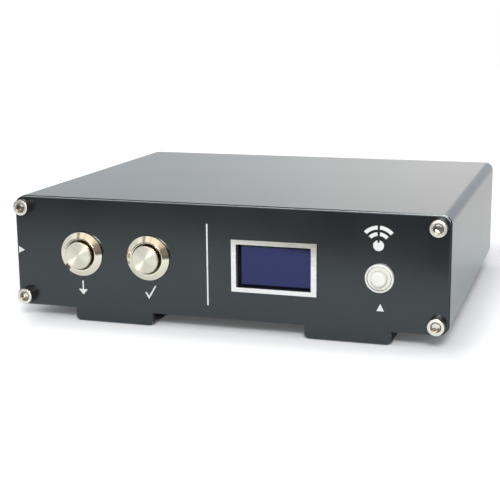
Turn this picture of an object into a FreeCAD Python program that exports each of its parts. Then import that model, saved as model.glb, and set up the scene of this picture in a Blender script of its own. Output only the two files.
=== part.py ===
import FreeCAD, Part
import math
import os
import re
import Sketcher

# Coaxial antenna switch in an extruded aluminium case. Millimetres. X runs to the right seen from
# the front, Y from the front plate to the rear sockets, Z up. The origin is on the surface that the
# case stands on, under the middle of everything from the button caps to the socket mouths.

SIZES = {
    # case: extruded sleeve, two end plates, two foot rails
    "case_width": 148.0,
    "case_height": 38.0,
    "sleeve_length": 120.0,
    "plate_thickness": 2.0,
    "edge_radius": 3.2,
    "plate_bevel": 0.25,
    "plate_inset": 0.2,
    "wall": 2.0,
    "foot_width": 28.6,
    "foot_height": 4.3,
    "foot_radius": 1.8,
    "foot_wall": 1.8,
    "left_foot_inset": 35.6,
    "right_foot_inset": 31.9,
    # screw ports in the sleeve's corners and the card ribs on its side walls
    "screw_inset": 3.6,
    "port_diameter": 6.6,
    "port_slit": 1.0,
    "rib_length": 2.4,
    "rib_thickness": 1.2,
    "rib_pitch": 7.0,
    # M3 socket cap screws
    "screw_diameter": 3.0,
    "thread_gap": 0.03,
    "screw_hole_gap": 0.2,
    "head_diameter": 5.5,
    "head_height": 3.0,
    "head_bevel": 0.3,
    "hex_size": 2.5,
    "hex_depth": 1.5,
    "screw_length": 8.0,
    # push buttons: bezel and barrel
    "button_level": 19.2,
    "step_button_inset": 24.8,
    "button_spacing": 24.1,
    "bezel_diameter": 15.0,
    "bezel_height": 2.0,
    "bezel_edge": 0.7,
    "bezel_rim": 0.4,
    "bezel_mouth": 10.4,
    "lip_reach": 0.6,
    "button_thread": 12.0,
    "barrel_length": 15.0,
    "barrel_bore": 10.6,
    "groove_width": 0.9,
    "gasket_width": 0.75,
    "gasket_height": 0.65,
    "button_nut_across": 14.0,
    "button_nut_thickness": 2.0,
    "plate_hole_gap": 0.1,
    # push buttons: what moves, and the contacts
    "cap_diameter": 9.3,
    "cap_proud": 3.2,
    "cap_bevel": 0.3,
    "cap_flange": 1.6,
    "slide_gap": 0.1,
    "travel": 1.6,
    "stem_diameter": 3.6,
    "stem_length": 5.3,
    "rivet_diameter": 2.0,
    "rivet_length": 0.9,
    "disc_diameter": 7.2,
    "disc_thickness": 0.5,
    "contact_gap": 0.05,
    "contact_proud": 0.25,
    "spring_diameter": 8.8,
    "spring_wire": 0.6,
    "spring_seat_gap": 0.03,
    "press_gap": 0.05,
    "base_flange": 1.2,
    "base_pit_diameter": 3.0,
    "base_pit_depth": 1.5,
    "terminal_thickness": 0.5,
    "terminal_width": 2.0,
    "terminal_spread": 5.2,
    "terminal_reach": 5.0,
    # display
    "display_inset": 55.9,
    "display_level": 18.5,
    "frame_width": 28.6,
    "frame_height": 17.2,
    "frame_proud": 0.7,
    "frame_bevel": 0.3,
    "window_width": 24.5,
    "window_height": 14.2,
    "glass_width": 26.7,
    "glass_height": 19.3,
    "glass_thickness": 1.5,
    "display_board_width": 27.3,
    "display_board_height": 27.8,
    "display_board_thickness": 1.2,
    "display_hole_across": 23.5,
    "display_hole_up": 23.8,
    "post_diameter": 3.6,
    "small_screw_diameter": 2.0,
    "small_head_diameter": 3.6,
    "small_head_height": 1.3,
    "ribbon_width": 10.2,
    "ribbon_thickness": 1.0,
    "ribbon_bend": 8.0,
    "ribbon_drop_from_top": 1.6,
    # signal lamp
    "lamp_inset": 21.7,
    "lamp_level": 17.4,
    "lamp_rim_diameter": 9.4,
    "lamp_rim_height": 1.2,
    "lamp_rim_bevel": 0.3,
    "lamp_recess": 7.8,
    "lamp_floor": 0.2,
    "lamp_thread": 8.0,
    "lamp_bezel_length": 9.0,
    "lamp_bore": 6.6,
    "lamp_collar_diameter": 7.3,
    "lamp_collar_height": 0.8,
    "lamp_collar_dish": 0.3,
    "lamp_collar_length": 5.2,
    "lamp_nut_across": 10.0,
    "lamp_nut_thickness": 2.0,
    "dome_diameter": 5.0,
    "dome_proud": 2.4,
    "lamp_foot_diameter": 5.8,
    "lamp_foot": 1.0,
    "lamp_leg": 0.5,
    "lamp_leg_spread": 2.54,
    "lamp_leg_length": 4.0,
    # main board and what is on it
    "board_level": 8.4,
    "board_thickness": 1.6,
    "board_gap": 0.15,
    "board_edge_gap": 0.4,
    "board_front_margin": 24.0,
    "board_rear_margin": 16.0,
    "board_hole": 3.2,
    "board_hole_inset": 6.0,
    "relay_width": 15.4,
    "relay_length": 19.0,
    "relay_height": 15.2,
    "relay_bevel": 0.6,
    "relay_setback": 24.0,
    "chip_size": 10.0,
    "chip_height": 1.4,
    "chip_leg_width": 0.4,
    "chip_leg_thickness": 0.35,
    "chip_leg_pitch": 1.27,
    "chip_leg_reach": 1.0,
    "chip_setback": 28.0,
    "chip_centre": -12.0,
    "crystal_length": 11.4,
    "crystal_width": 4.8,
    "crystal_height": 3.6,
    "crystal_spacing": 18.0,
    "regulator_width": 10.0,
    "regulator_thickness": 4.5,
    "regulator_height": 9.0,
    "regulator_tab": 1.3,
    "regulator_tab_height": 15.5,
    "regulator_tab_hole": 3.6,
    "regulator_offset": 4.0,
    "regulator_setback": 50.0,
    "capacitor_diameter": 8.0,
    "capacitor_height": 12.0,
    "capacitor_pitch": 10.0,
    "capacitor_setback": 40.0,
    "header_width": 12.6,
    "header_length": 6.0,
    "header_height": 7.0,
    "header_setback": 14.0,
    "ring_diameter": 18.0,
    "ring_hole": 10.0,
    "ring_width": 6.5,
    "ring_setback": 4.0,
    "winding_wire": 0.8,
    "winding_gap": 0.1,
    # coaxial sockets
    "socket_level": 19.0,
    "radio_socket_centre": -49.5,
    "socket_pitch": 27.0,
    "flange_size": 25.4,
    "flange_thickness": 3.0,
    "flange_radius": 2.0,
    "flange_hole_spacing": 18.2,
    "socket_thread": 15.88,
    "socket_reach": 12.7,
    "socket_bevel": 0.5,
    "socket_bore": 12.4,
    "socket_recess": 5.5,
    "socket_step": 1.0,
    "boss_diameter": 11.6,
    "boss_length": 6.0,
    "boss_bore": 8.5,
    "boss_gap": 0.2,
    "insulator_tail": 1.5,
    "contact_diameter": 5.4,
    "contact_lead": 0.5,
    "pin_bore": 4.0,
    "pin_depth": 12.0,
    "cup_diameter": 3.0,
    "cup_length": 3.5,
    "cup_depth": 2.5,
    # power socket
    "power_spacing": 24.7,
    "power_flange_diameter": 11.0,
    "power_flange": 2.0,
    "power_bevel": 0.4,
    "power_thread": 8.0,
    "power_length": 12.0,
    "power_bore": 5.8,
    "power_bore_depth": 10.0,
    "power_pin": 2.0,
    "power_pin_lead": 1.0,
    "power_tail": 3.0,
    "power_nut_across": 11.0,
    "power_nut_thickness": 2.0,
    # leads
    "lead_diameter": 1.2,
    "lead_bend": 4.0,
    "lead_setback": 6.0,
    "power_lead_setback": 8.0,
    "link_diameter": 1.6,
    "link_setback": 12.6,
}

SPRING_TURNS = 4.5
SPRING_STEPS = 12
WIRE_SIDES = 6
WINDING_TURNS = 9
WINDING_ANGLE = 240.0
CARD_SLOTS = 3
CHIP_LEGS = 7
SOCKETS = 4

doc = FreeCAD.newDocument("antenna_switch")
sheet = doc.addObject("Spreadsheet::Sheet", "Sizes")
for row, (alias, value) in enumerate(SIZES.items(), start=1):
    sheet.set(f"A{row}", alias)
    sheet.set(f"B{row}", str(value))
    sheet.setAlias(f"B{row}", alias)
doc.recompute()

# Shared places, written once as expressions of the sizes.
FRONT_REACH = "max(cap_proud, head_height)"
MIDDLE = f"(sleeve_length + 2*plate_thickness + flange_thickness + socket_reach - {FRONT_REACH})/2"
REAR_FACE = "sleeve_length + 2*plate_thickness"
LEFT_FOOT = "left_foot_inset - case_width/2"
RIGHT_FOOT = "case_width/2 - right_foot_inset"
BUTTONS = {
    "step_button": "step_button_inset - case_width/2",
    "confirm_button": "step_button_inset + button_spacing - case_width/2",
}
DISPLAY = "case_width/2 - display_inset"
LAMP = "case_width/2 - lamp_inset"
BOARD_FRONT = "board_front_margin"
BOARD_REAR = f"{REAR_FACE} - board_rear_margin"
BOARD_TOP = "board_level + board_thickness"
CAP_BACK = "lip_reach + cap_flange"
DISC_BACK = f"{CAP_BACK} + stem_length + disc_thickness"
CONTACT_FACE = f"{DISC_BACK} + travel + contact_gap"
BASE_FRONT = f"{CONTACT_FACE} + contact_proud"
TERMINAL_END = "barrel_length + base_flange + terminal_reach"
LAMP_BACK = "lamp_collar_length + lamp_foot"


def tied(text):
    """An expression in plain size names, tied to the sheet's cells."""
    return re.sub(r"[a-z_]+", lambda m: f"Sizes.{m[0]}" if m[0] in SIZES else m[0], text)


def size(alias):
    return float(sheet.get(alias))


def value(text):
    """What an expression in plain size names comes to."""
    return sheet.evalExpression(tied(text))


def origin_of(body, role):
    return next(f for f in body.Origin.OriginFeatures if f.Role == role)


def new_body(label):
    body = doc.addObject("PartDesign::Body", label)
    body.Label = label
    return body


def place(obj, across, depth, level):
    """Puts a sub-part at a place in the case: from its middle, its front face and its underside."""
    obj.setExpression("Placement.Base.x", tied(across))
    obj.setExpression("Placement.Base.y", tied(f"{depth} - {MIDDLE}"))
    obj.setExpression("Placement.Base.z", tied(f"{level} + foot_height"))


def new_sketch(body, plane, depth=None):
    """A sketch on one of the body's origin planes. An XZ sketch may lie at a depth behind it."""
    sketch = body.newObject("Sketcher::SketchObject", f"{body.Name}_sketch")
    sketch.AttachmentSupport = [(origin_of(body, plane), "")]
    sketch.MapMode = "FlatFace"
    if depth is not None:
        sign = "-" if plane == "XZ_Plane" else ""
        sketch.setExpression("AttachmentOffset.Base.z", tied(f"{sign}({depth})"))
    return sketch


def pin_point(sketch, geometry, point, across, up):
    """Fixes a point of the sketch at two expressions, each measured from the sketch's origin."""
    for kind, text, axis in (("DistanceX", across, -2), ("DistanceY", up, -1)):
        if text == "0":
            sketch.addConstraint(Sketcher.Constraint("PointOnObject", geometry, point, axis))
        else:
            index = sketch.addConstraint(Sketcher.Constraint(kind, -1, 1, geometry, point, 1.0))
            sketch.setExpression(f"Constraints[{index}]", tied(text))


def outline(sketch, corners):
    """A closed line through corners given as pairs of expressions."""
    first, count = sketch.GeometryCount, len(corners)
    ring = [FreeCAD.Vector(math.cos(math.tau * i / count), math.sin(math.tau * i / count), 0)
            for i in range(count)]
    for i in range(count):
        sketch.addGeometry(Part.LineSegment(ring[i], ring[(i + 1) % count]), False)
    for i in range(count):
        following = first + (i + 1) % count
        sketch.addConstraint(Sketcher.Constraint("Coincident", first + i, 2, following, 1))
    for i, (across, up) in enumerate(corners):
        pin_point(sketch, first + i, 1, across, up)


def rectangle(sketch, left, right, low, high):
    outline(sketch, [(left, low), (right, low), (right, high), (left, high)])


def centred_rectangle(sketch, width, height):
    rectangle(sketch, f"-({width})/2", f"({width})/2", f"-({height})/2", f"({height})/2")


def circle(sketch, across, up, diameter):
    geometry = sketch.addGeometry(Part.Circle(FreeCAD.Vector(1, 1, 0), FreeCAD.Vector(0, 0, 1), 1))
    pin_point(sketch, geometry, 3, across, up)
    index = sketch.addConstraint(Sketcher.Constraint("Diameter", geometry, 1.0))
    sketch.setExpression(f"Constraints[{index}]", tied(diameter))


def hexagon(sketch, across_flats):
    """A hexagon about the sketch's origin, with two of its flats level."""
    half, side = f"({across_flats})/2", f"({across_flats})/sqrt(3)"
    outline(sketch, [(side, "0"), (f"{side}/2", half), (f"-{side}/2", half),
                     (f"-{side}", "0"), (f"-{side}/2", f"-{half}"), (f"{side}/2", f"-{half}")])


def pad(body, sketch, length, backwards=True, midplane=False):
    """Extrudes a sketch. One on XZ grows towards the rear when backwards is set."""
    feature = body.newObject("PartDesign::Pad", f"{body.Name}_pad")
    feature.Profile = sketch
    feature.setExpression("Length", tied(length))
    feature.Reversed = backwards
    feature.Midplane = midplane
    body.Tip = feature
    return feature


def pocket(body, sketch, length=None, backwards=True):
    """Cuts a sketch into the body, to a depth or right through, and makes sure that it cut."""
    doc.recompute()
    before = body.Tip.Shape.Volume
    feature = body.newObject("PartDesign::Pocket", f"{body.Name}_pocket")
    feature.Profile = sketch
    if length is None:
        feature.Type = "ThroughAll"
        feature.Midplane = True
    else:
        feature.setExpression("Length", tied(length))
        feature.Reversed = not backwards
    body.Tip = feature
    doc.recompute()
    if feature.Shape.Volume >= before - 1e-6:
        raise RuntimeError(f"{body.Label}: a pocket cut nothing")
    return feature


def turned(label, profile):
    """A piece turned about its Y axis. The profile is pairs of radius and depth."""
    body = new_body(label)
    sketch = new_sketch(body, "XY_Plane")
    outline(sketch, profile)
    feature = body.newObject("PartDesign::Revolution", f"{label}_turned")
    feature.Profile = sketch
    feature.ReferenceAxis = (sketch, ["V_Axis"])
    feature.Angle = 360
    body.Tip = feature
    return body


def block(label, width, length, height):
    """A plain block that stands on its origin, in the middle of its width and length."""
    body = new_body(label)
    sketch = new_sketch(body, "XY_Plane")
    centred_rectangle(sketch, width, length)
    pad(body, sketch, height, backwards=False)
    return body


def repeat(body, axis, spacing, count):
    """Repeats the whole body along an axis as separate solids."""
    feature = body.newObject("PartDesign::LinearPattern", f"{body.Name}_row")
    feature.TransformMode = "Whole shape"
    feature.Direction = (origin_of(body, axis), [""])
    feature.Mode = "Spacing"
    feature.setExpression("Offset", tied(spacing))
    feature.Occurrences = count
    body.Tip = feature
    doc.recompute()
    return feature


def dress(body, kind, edges, amount):
    """Fillets or chamfers edges of the body's last feature."""
    if not edges:
        raise RuntimeError(f"{body.Label}: no edge found to dress")
    base = body.Tip
    feature = body.newObject(f"PartDesign::{kind}", f"{body.Name}_{kind.lower()}")
    feature.Base = (base, edges)
    feature.setExpression("Radius" if kind == "Fillet" else "Size", tied(amount))
    body.Tip = feature
    doc.recompute()
    return feature


def edges_where(body, test):
    """Names of the last feature's edges whose every end and middle passes a test."""
    doc.recompute()
    names = []
    for number, edge in enumerate(body.Tip.Shape.Edges, start=1):
        middle = edge.valueAt((edge.FirstParameter + edge.LastParameter) / 2)
        if all(test(p) for p in [v.Point for v in edge.Vertexes] + [middle]):
            names.append(f"Edge{number}")
    return names


def near(a, b):
    return abs(a - b) < 1e-4


def edges_along_depth(body, places):
    """The edges that run from front to back through given places across and up."""
    return edges_where(body, lambda p: any(near(p.x, x) and near(p.z, z) for x, z in places))


# ---------------------------------------------------------------- case

FEET = (LEFT_FOOT, RIGHT_FOOT)


def case_profile(label, length, inset):
    """A rounded box on two wide rails, the outline of the sleeve or of an end plate set in from it."""
    body = new_body(label)
    sketch = new_sketch(body, "XZ_Plane")
    half_width, half_foot = f"(case_width/2 - {inset})", f"(foot_width/2 - {inset})"
    floor, top, toe = inset, f"case_height - {inset}", f"{inset} - foot_height"
    corners = [(f"-{half_width}", floor)]
    for foot in FEET:
        left, right = f"{foot} - {half_foot}", f"{foot} + {half_foot}"
        corners += [(left, floor), (left, toe), (right, toe), (right, floor)]
    corners += [(half_width, floor), (half_width, top), (f"-{half_width}", top)]
    outline(sketch, corners)
    pad(body, sketch, length)
    box_corners = [(side * value(half_width), value(level))
                   for side in (-1, 1) for level in (floor, top)]
    dress(body, "Fillet", edges_along_depth(body, box_corners), f"edge_radius - {inset}")
    toes = [(value(foot) + side * value(half_foot), value(toe)) for foot in FEET for side in (-1, 1)]
    dress(body, "Fillet", edges_along_depth(body, toes), f"foot_radius - {inset}")
    return body


def corner_places():
    """The four screw places, as expressions across and up."""
    across, high = "(case_width/2 - screw_inset)", "case_height - screw_inset"
    return [(f"{sign}{across}", level) for sign in ("-", "") for level in ("screw_inset", high)]


def housing():
    """Extruded sleeve: foot rails, screw ports in the corners, card ribs on the side walls."""
    body = case_profile("housing", "sleeve_length", "0")
    cavity = new_sketch(body, "XZ_Plane")
    rectangle(cavity, "-(case_width/2 - wall)", "case_width/2 - wall", "wall", "case_height - wall")
    pocket(body, cavity)
    troughs = new_sketch(body, "XZ_Plane")
    for foot in FEET:
        half = "(foot_width/2 - foot_wall)"
        rectangle(troughs, f"{foot} - {half}", f"{foot} + {half}", "foot_wall - foot_height",
                  "wall + foot_wall")
    pocket(body, troughs)
    ports = new_sketch(body, "XZ_Plane")
    for across, level in corner_places():
        circle(ports, across, level, "port_diameter")
    pad(body, ports, "sleeve_length")
    bores = new_sketch(body, "XZ_Plane")
    for across, level in corner_places():
        circle(bores, across, level, "screw_diameter + 2*thread_gap")
    pocket(body, bores)
    slits = new_sketch(body, "XZ_Plane")
    for across, level in corner_places():
        inner = f"{across} + port_diameter" if across[0] == "-" else f"{across} - port_diameter"
        ends = (across, inner) if across[0] == "-" else (inner, across)
        rectangle(slits, *ends, f"{level} - port_slit/2", f"{level} + port_slit/2")
    pocket(body, slits)
    ribs = new_sketch(body, "XZ_Plane")
    root, tip = "(case_width/2 - wall/2)", "(case_width/2 - wall - rib_length)"
    below, above = "board_level - board_gap", "board_level + board_thickness + board_gap"
    for low, high in ((f"{below} - rib_thickness", below), (above, f"{above} + rib_thickness")):
        rectangle(ribs, f"-{root}", f"-{tip}", low, high)
        rectangle(ribs, tip, root, low, high)
    rib_pad = pad(body, ribs, "sleeve_length")
    doc.recompute()
    rows = body.newObject("PartDesign::LinearPattern", "housing_card_slots")
    rows.Originals = [rib_pad]
    rows.Direction = (origin_of(body, "Z_Axis"), [""])
    rows.Mode = "Spacing"
    rows.setExpression("Offset", tied("rib_pitch"))
    rows.Occurrences = CARD_SLOTS
    body.Tip = rows
    place(body, "0", "plate_thickness", "0")
    return body


def bevel_outer_edge(body, depth):
    """Breaks the sharp edge all round one face of an end plate."""
    def on_face(p):
        return near(p.y, depth)
    dress(body, "Chamfer", edges_where(body, on_face), "plate_bevel")


def front_plate():
    """Flat plate just inside the sleeve's outline, with holes for buttons and lamp, and a window."""
    body = case_profile("front_plate", "plate_thickness", "plate_inset")
    bevel_outer_edge(body, 0)
    holes = new_sketch(body, "XZ_Plane")
    for across, level in corner_places():
        circle(holes, across, level, "screw_diameter + 2*screw_hole_gap")
    for centre in BUTTONS.values():
        circle(holes, centre, "button_level", "button_thread + 2*plate_hole_gap")
    circle(holes, LAMP, "lamp_level", "lamp_thread + 2*plate_hole_gap")
    rectangle(holes, f"{DISPLAY} - window_width/2", f"{DISPLAY} + window_width/2",
              "display_level - window_height/2", "display_level + window_height/2")
    pocket(body, holes)
    place(body, "0", "0", "0")
    return body


def socket_centre(number):
    return f"radio_socket_centre + {number}*socket_pitch"


POWER = f"{socket_centre(SOCKETS - 1)} + power_spacing"


def flange_hole_places():
    """The four screw places of a socket's flange, from its middle."""
    half = "flange_hole_spacing/2"
    return [(f"{across}{half}", f"{up}{half}") for across in ("-", "") for up in ("-", "")]


def rear_plate():
    """Flat plate just inside the sleeve's outline, with the holes for the sockets."""
    body = case_profile("rear_plate", "plate_thickness", "plate_inset")
    bevel_outer_edge(body, size("plate_thickness"))
    holes = new_sketch(body, "XZ_Plane")
    for across, level in corner_places():
        circle(holes, across, level, "screw_diameter + 2*screw_hole_gap")
    for number in range(SOCKETS):
        centre = socket_centre(number)
        circle(holes, centre, "socket_level", "boss_diameter + 2*boss_gap")
        for across, up in flange_hole_places():
            circle(holes, f"{centre} + ({across})", f"socket_level + ({up})",
                   "screw_diameter + 2*thread_gap")
    circle(holes, POWER, "socket_level", "power_thread + 2*plate_hole_gap")
    pocket(body, holes)
    place(body, "0", "plate_thickness + sleeve_length", "0")
    return body


def cap_screw(label):
    """M3 socket cap screw along +Y, the underside of its head at the origin."""
    body = turned(label, [
        ("0", "-head_height"), ("head_diameter/2 - head_bevel", "-head_height"),
        ("head_diameter/2", "head_bevel - head_height"), ("head_diameter/2", "0"),
        ("screw_diameter/2", "0"), ("screw_diameter/2", "screw_length"), ("0", "screw_length")])
    drive = new_sketch(body, "XZ_Plane", "-head_height")
    hexagon(drive, "hex_size")
    pocket(body, drive, "hex_depth")
    return body


def plate_screws(label, rear):
    """Four screws that hold one end plate to the sleeve's screw ports."""
    body = cap_screw(label)
    repeat(body, "X_Axis", "case_width - 2*screw_inset", 2)
    repeat(body, "Z_Axis", "case_height - 2*screw_inset", 2)
    if rear:
        body.Placement = FreeCAD.Placement(FreeCAD.Vector(), FreeCAD.Rotation(180, 0, 0))
        place(body, "case_width/2 - screw_inset", REAR_FACE, "screw_inset")
    else:
        place(body, "screw_inset - case_width/2", "0", "screw_inset")
    return body


def nut(label, across_flats, thickness, bore):
    """Hexagon nut whose front face is at the origin and whose axis is Y."""
    body = new_body(label)
    sketch = new_sketch(body, "XZ_Plane")
    hexagon(sketch, across_flats)
    circle(sketch, "0", "0", bore)
    pad(body, sketch, thickness)
    return body


# ---------------------------------------------------------------- push buttons

def button_barrel(label):
    """Bezel and threaded barrel in one turned piece. A lip in its mouth holds the cap in."""
    body_radius, bore = "button_thread/2", "barrel_bore/2"
    lip, mouth = "cap_diameter/2 + slide_gap", "bezel_mouth/2"
    return turned(label, [
        (body_radius, "barrel_length"), (body_radius, "-bezel_edge"),
        (f"{body_radius} + groove_width", "-bezel_edge"), (f"{body_radius} + groove_width", "0"),
        ("bezel_diameter/2", "0"), ("bezel_diameter/2", "-bezel_edge"),
        (f"{mouth} + bezel_rim", "-bezel_height"), (mouth, "-bezel_height"),
        (mouth, "-lip_reach"), (lip, "-lip_reach"), (lip, "lip_reach"), (bore, "lip_reach"),
        (bore, "barrel_length")])


def button_gasket(label):
    """Flat rubber ring in the groove under the bezel."""
    inner, outer = "button_thread/2 + press_gap", "button_thread/2 + press_gap + gasket_width"
    return turned(label, [(inner, "-gasket_height"), (outer, "-gasket_height"), (outer, "0"),
                          (inner, "0")])


def button_cap(label):
    """Flat-faced cap with the flange that guides it and the stem that carries the disc."""
    radius, guide = "cap_diameter/2", "barrel_bore/2 - slide_gap"
    stem_end = f"{CAP_BACK} + stem_length"
    rivet_end = f"{stem_end} + rivet_length"
    return turned(label, [
        ("0", "-cap_proud"), (f"{radius} - cap_bevel", "-cap_proud"),
        (radius, "cap_bevel - cap_proud"), (radius, "lip_reach"), (guide, "lip_reach"),
        (guide, CAP_BACK), ("stem_diameter/2", CAP_BACK), ("stem_diameter/2", stem_end),
        ("rivet_diameter/2", stem_end), ("rivet_diameter/2", rivet_end), ("0", rivet_end)])


def contact_disc(label):
    """Moving contact, riveted to the end of the stem."""
    front = f"{CAP_BACK} + stem_length"
    return turned(label, [
        ("rivet_diameter/2 + thread_gap", front), ("disc_diameter/2", front),
        ("disc_diameter/2", DISC_BACK), ("rivet_diameter/2 + thread_gap", DISC_BACK)])


def contact_base(label):
    """Moulded block pressed into the barrel's rear end, with a pit for the rivet."""
    plug, rim = "barrel_bore/2 - press_gap", "button_thread/2"
    body = turned(label, [
        ("0", f"{BASE_FRONT} + base_pit_depth"), ("base_pit_diameter/2", f"{BASE_FRONT} + base_pit_depth"),
        ("base_pit_diameter/2", BASE_FRONT), (plug, BASE_FRONT), (plug, "barrel_length"),
        (rim, "barrel_length"), (rim, "barrel_length + base_flange"),
        ("0", "barrel_length + base_flange")])
    slots = new_sketch(body, "XZ_Plane")
    for side in ("-", ""):
        blade_outline(slots, side, "press_gap")
    pocket(body, slots)
    return body


def blade_outline(sketch, side, gap):
    """Cross-section of a terminal blade on one side of the button's axis."""
    middle = f"{side}terminal_spread/2"
    half_thickness, half_width = f"(terminal_thickness/2 + {gap})", f"(terminal_width/2 + {gap})"
    rectangle(sketch, f"{middle} - {half_thickness}", f"{middle} + {half_thickness}",
              f"-{half_width}", half_width)


def contact_terminals(label):
    """Two blades through the contact block: contact faces in front, solder tags behind."""
    body = new_body(label)
    sketch = new_sketch(body, "XZ_Plane", CONTACT_FACE)
    for side in ("-", ""):
        blade_outline(sketch, side, "0")
    pad(body, sketch, f"{TERMINAL_END} - ({CONTACT_FACE})")
    return body


def return_spring(label):
    """Coil between the cap's flange and the contact block, wound round the moving contact."""
    radius, wire = size("spring_diameter") / 2, size("spring_wire") / 2
    shift = wire + size("spring_seat_gap")
    start, end = value(CAP_BACK) + shift, value(BASE_FRONT) - shift
    count = int(SPRING_TURNS * SPRING_STEPS)
    points = []
    for i in range(count + 1):
        angle = math.tau * i / SPRING_STEPS
        points.append(FreeCAD.Vector(radius * math.cos(angle), start + (end - start) * i / count,
                                     radius * math.sin(angle)))
    ahead = (points[1] - points[0]).normalize()
    side = ahead.cross(FreeCAD.Vector(0, 1, 0)).normalize()
    up = ahead.cross(side)
    section = [points[0] + side * (wire * math.cos(math.tau * k / WIRE_SIDES))
               + up * (wire * math.sin(math.tau * k / WIRE_SIDES)) for k in range(WIRE_SIDES + 1)]
    sweep = Part.BRepOffsetAPI.MakePipeShell(Part.makePolygon(points))
    sweep.setTransitionMode(1)
    sweep.add(Part.makePolygon(section), False, False)
    sweep.build()
    sweep.makeSolid()
    spring = doc.addObject("Part::Feature", label)
    spring.Label = label
    spring.Shape = sweep.shape()
    return spring


def push_button(name):
    """All the pieces of one push button, at its place in the front plate."""
    pieces = [
        button_barrel(f"{name}_barrel"),
        button_gasket(f"{name}_gasket"),
        button_cap(f"{name}_cap"),
        contact_disc(f"{name}_contact_disc"),
        contact_base(f"{name}_base"),
        contact_terminals(f"{name}_terminals"),
        return_spring(f"{name}_spring"),
    ]
    for piece in pieces:
        place(piece, BUTTONS[name], "0", "button_level")
    ring = nut(f"{name}_nut", "button_nut_across", "button_nut_thickness",
               "button_thread + 2*press_gap")
    place(ring, BUTTONS[name], "plate_thickness", "button_level")
    return pieces + [ring]


# ---------------------------------------------------------------- display

def display_frame():
    """Flat raised frame on the plate's face, round the window."""
    body = new_body("display_frame")
    rim = new_sketch(body, "XZ_Plane")
    centred_rectangle(rim, "frame_width", "frame_height")
    centred_rectangle(rim, "window_width", "window_height")
    pad(body, rim, "frame_proud", backwards=False)
    front = -size("frame_proud")
    dress(body, "Chamfer", edges_where(body, lambda p: near(p.y, front)), "frame_bevel")
    place(body, DISPLAY, "0", "display_level")
    return body


def display_glass():
    """Glass cell, flat against the plate's rear face."""
    body = new_body("display_glass")
    sketch = new_sketch(body, "XZ_Plane")
    centred_rectangle(sketch, "glass_width", "glass_height")
    pad(body, sketch, "glass_thickness")
    place(body, DISPLAY, "plate_thickness", "display_level")
    return body


def display_hole_places():
    return [(f"{across}display_hole_across/2", f"{up}display_hole_up/2")
            for across in ("-", "") for up in ("-", "")]


def display_board():
    """Circuit board behind the glass, held at its four corners."""
    body = new_body("display_board")
    sketch = new_sketch(body, "XZ_Plane")
    centred_rectangle(sketch, "display_board_width", "display_board_height")
    for across, up in display_hole_places():
        circle(sketch, across, up, "small_screw_diameter + 2*plate_hole_gap")
    pad(body, sketch, "display_board_thickness")
    place(body, DISPLAY, "plate_thickness + glass_thickness", "display_level")
    return body


def display_posts():
    """Four tapped posts on the plate's rear face, as tall as the glass is thick."""
    body = new_body("display_posts")
    sketch = new_sketch(body, "XZ_Plane")
    for across, up in display_hole_places():
        circle(sketch, across, up, "post_diameter")
        circle(sketch, across, up, "small_screw_diameter + 2*thread_gap")
    pad(body, sketch, "glass_thickness")
    place(body, DISPLAY, "plate_thickness", "display_level")
    return body


def display_screws():
    """Four M2 screws from behind, through the board into the posts."""
    body = turned("display_screws", [
        ("0", "small_head_height"), ("small_head_diameter/2", "small_head_height"),
        ("small_head_diameter/2", "0"), ("small_screw_diameter/2", "0"),
        ("small_screw_diameter/2", "-(display_board_thickness + glass_thickness)"),
        ("0", "-(display_board_thickness + glass_thickness)")])
    repeat(body, "X_Axis", "display_hole_across", 2)
    repeat(body, "Z_Axis", "display_hole_up", 2)
    place(body, f"{DISPLAY} - display_hole_across/2",
          "plate_thickness + glass_thickness + display_board_thickness",
          "display_level - display_hole_up/2")
    return body


def display_ribbon():
    """Flat cable from the display board's upper edge down to its header on the main board."""
    body = new_body("display_ribbon")
    sketch = new_sketch(body, "YZ_Plane")
    reach = (f"{BOARD_FRONT} + header_setback + ribbon_thickness/2"
             " - (plate_thickness + glass_thickness + display_board_thickness)")
    drop = (f"display_level + display_board_height/2 - ribbon_drop_from_top"
            f" - ({BOARD_TOP} + header_height)")
    outline(sketch, [("0", "0"), (reach, "0"), (reach, f"-({drop})"),
                     (f"{reach} - ribbon_thickness", f"-({drop})"),
                     (f"{reach} - ribbon_thickness", "-ribbon_thickness"),
                     ("0", "-ribbon_thickness")])
    pad(body, sketch, "ribbon_width", backwards=False, midplane=True)
    doc.recompute()
    high = body.Tip.Shape.BoundBox.ZMax
    far = body.Tip.Shape.BoundBox.YMax
    inner_y, inner_z = far - size("ribbon_thickness"), high - size("ribbon_thickness")
    dress(body, "Fillet", edges_where(body, lambda p: near(p.y, far) and near(p.z, high)),
          "ribbon_bend")
    dress(body, "Fillet", edges_where(body, lambda p: near(p.y, inner_y) and near(p.z, inner_z)),
          "ribbon_bend - ribbon_thickness")
    place(body, DISPLAY, "plate_thickness + glass_thickness + display_board_thickness",
          "display_level + display_board_height/2 - ribbon_drop_from_top")
    return body


# ---------------------------------------------------------------- signal lamp

def lamp_bezel():
    """Metal rim in front of the plate, in one piece with the threaded tube behind it."""
    thread, recess, bore = "lamp_thread/2", "lamp_recess/2", "lamp_bore/2"
    body = turned("lamp_bezel", [
        (thread, "lamp_bezel_length"), (thread, "0"), ("lamp_rim_diameter/2", "0"),
        ("lamp_rim_diameter/2", "lamp_rim_bevel - lamp_rim_height"),
        ("lamp_rim_diameter/2 - lamp_rim_bevel", "-lamp_rim_height"),
        (recess, "-lamp_rim_height"), (recess, "-lamp_floor"), (bore, "-lamp_floor"),
        (bore, "lamp_bezel_length")])
    place(body, LAMP, "0", "lamp_level")
    return body


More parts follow.
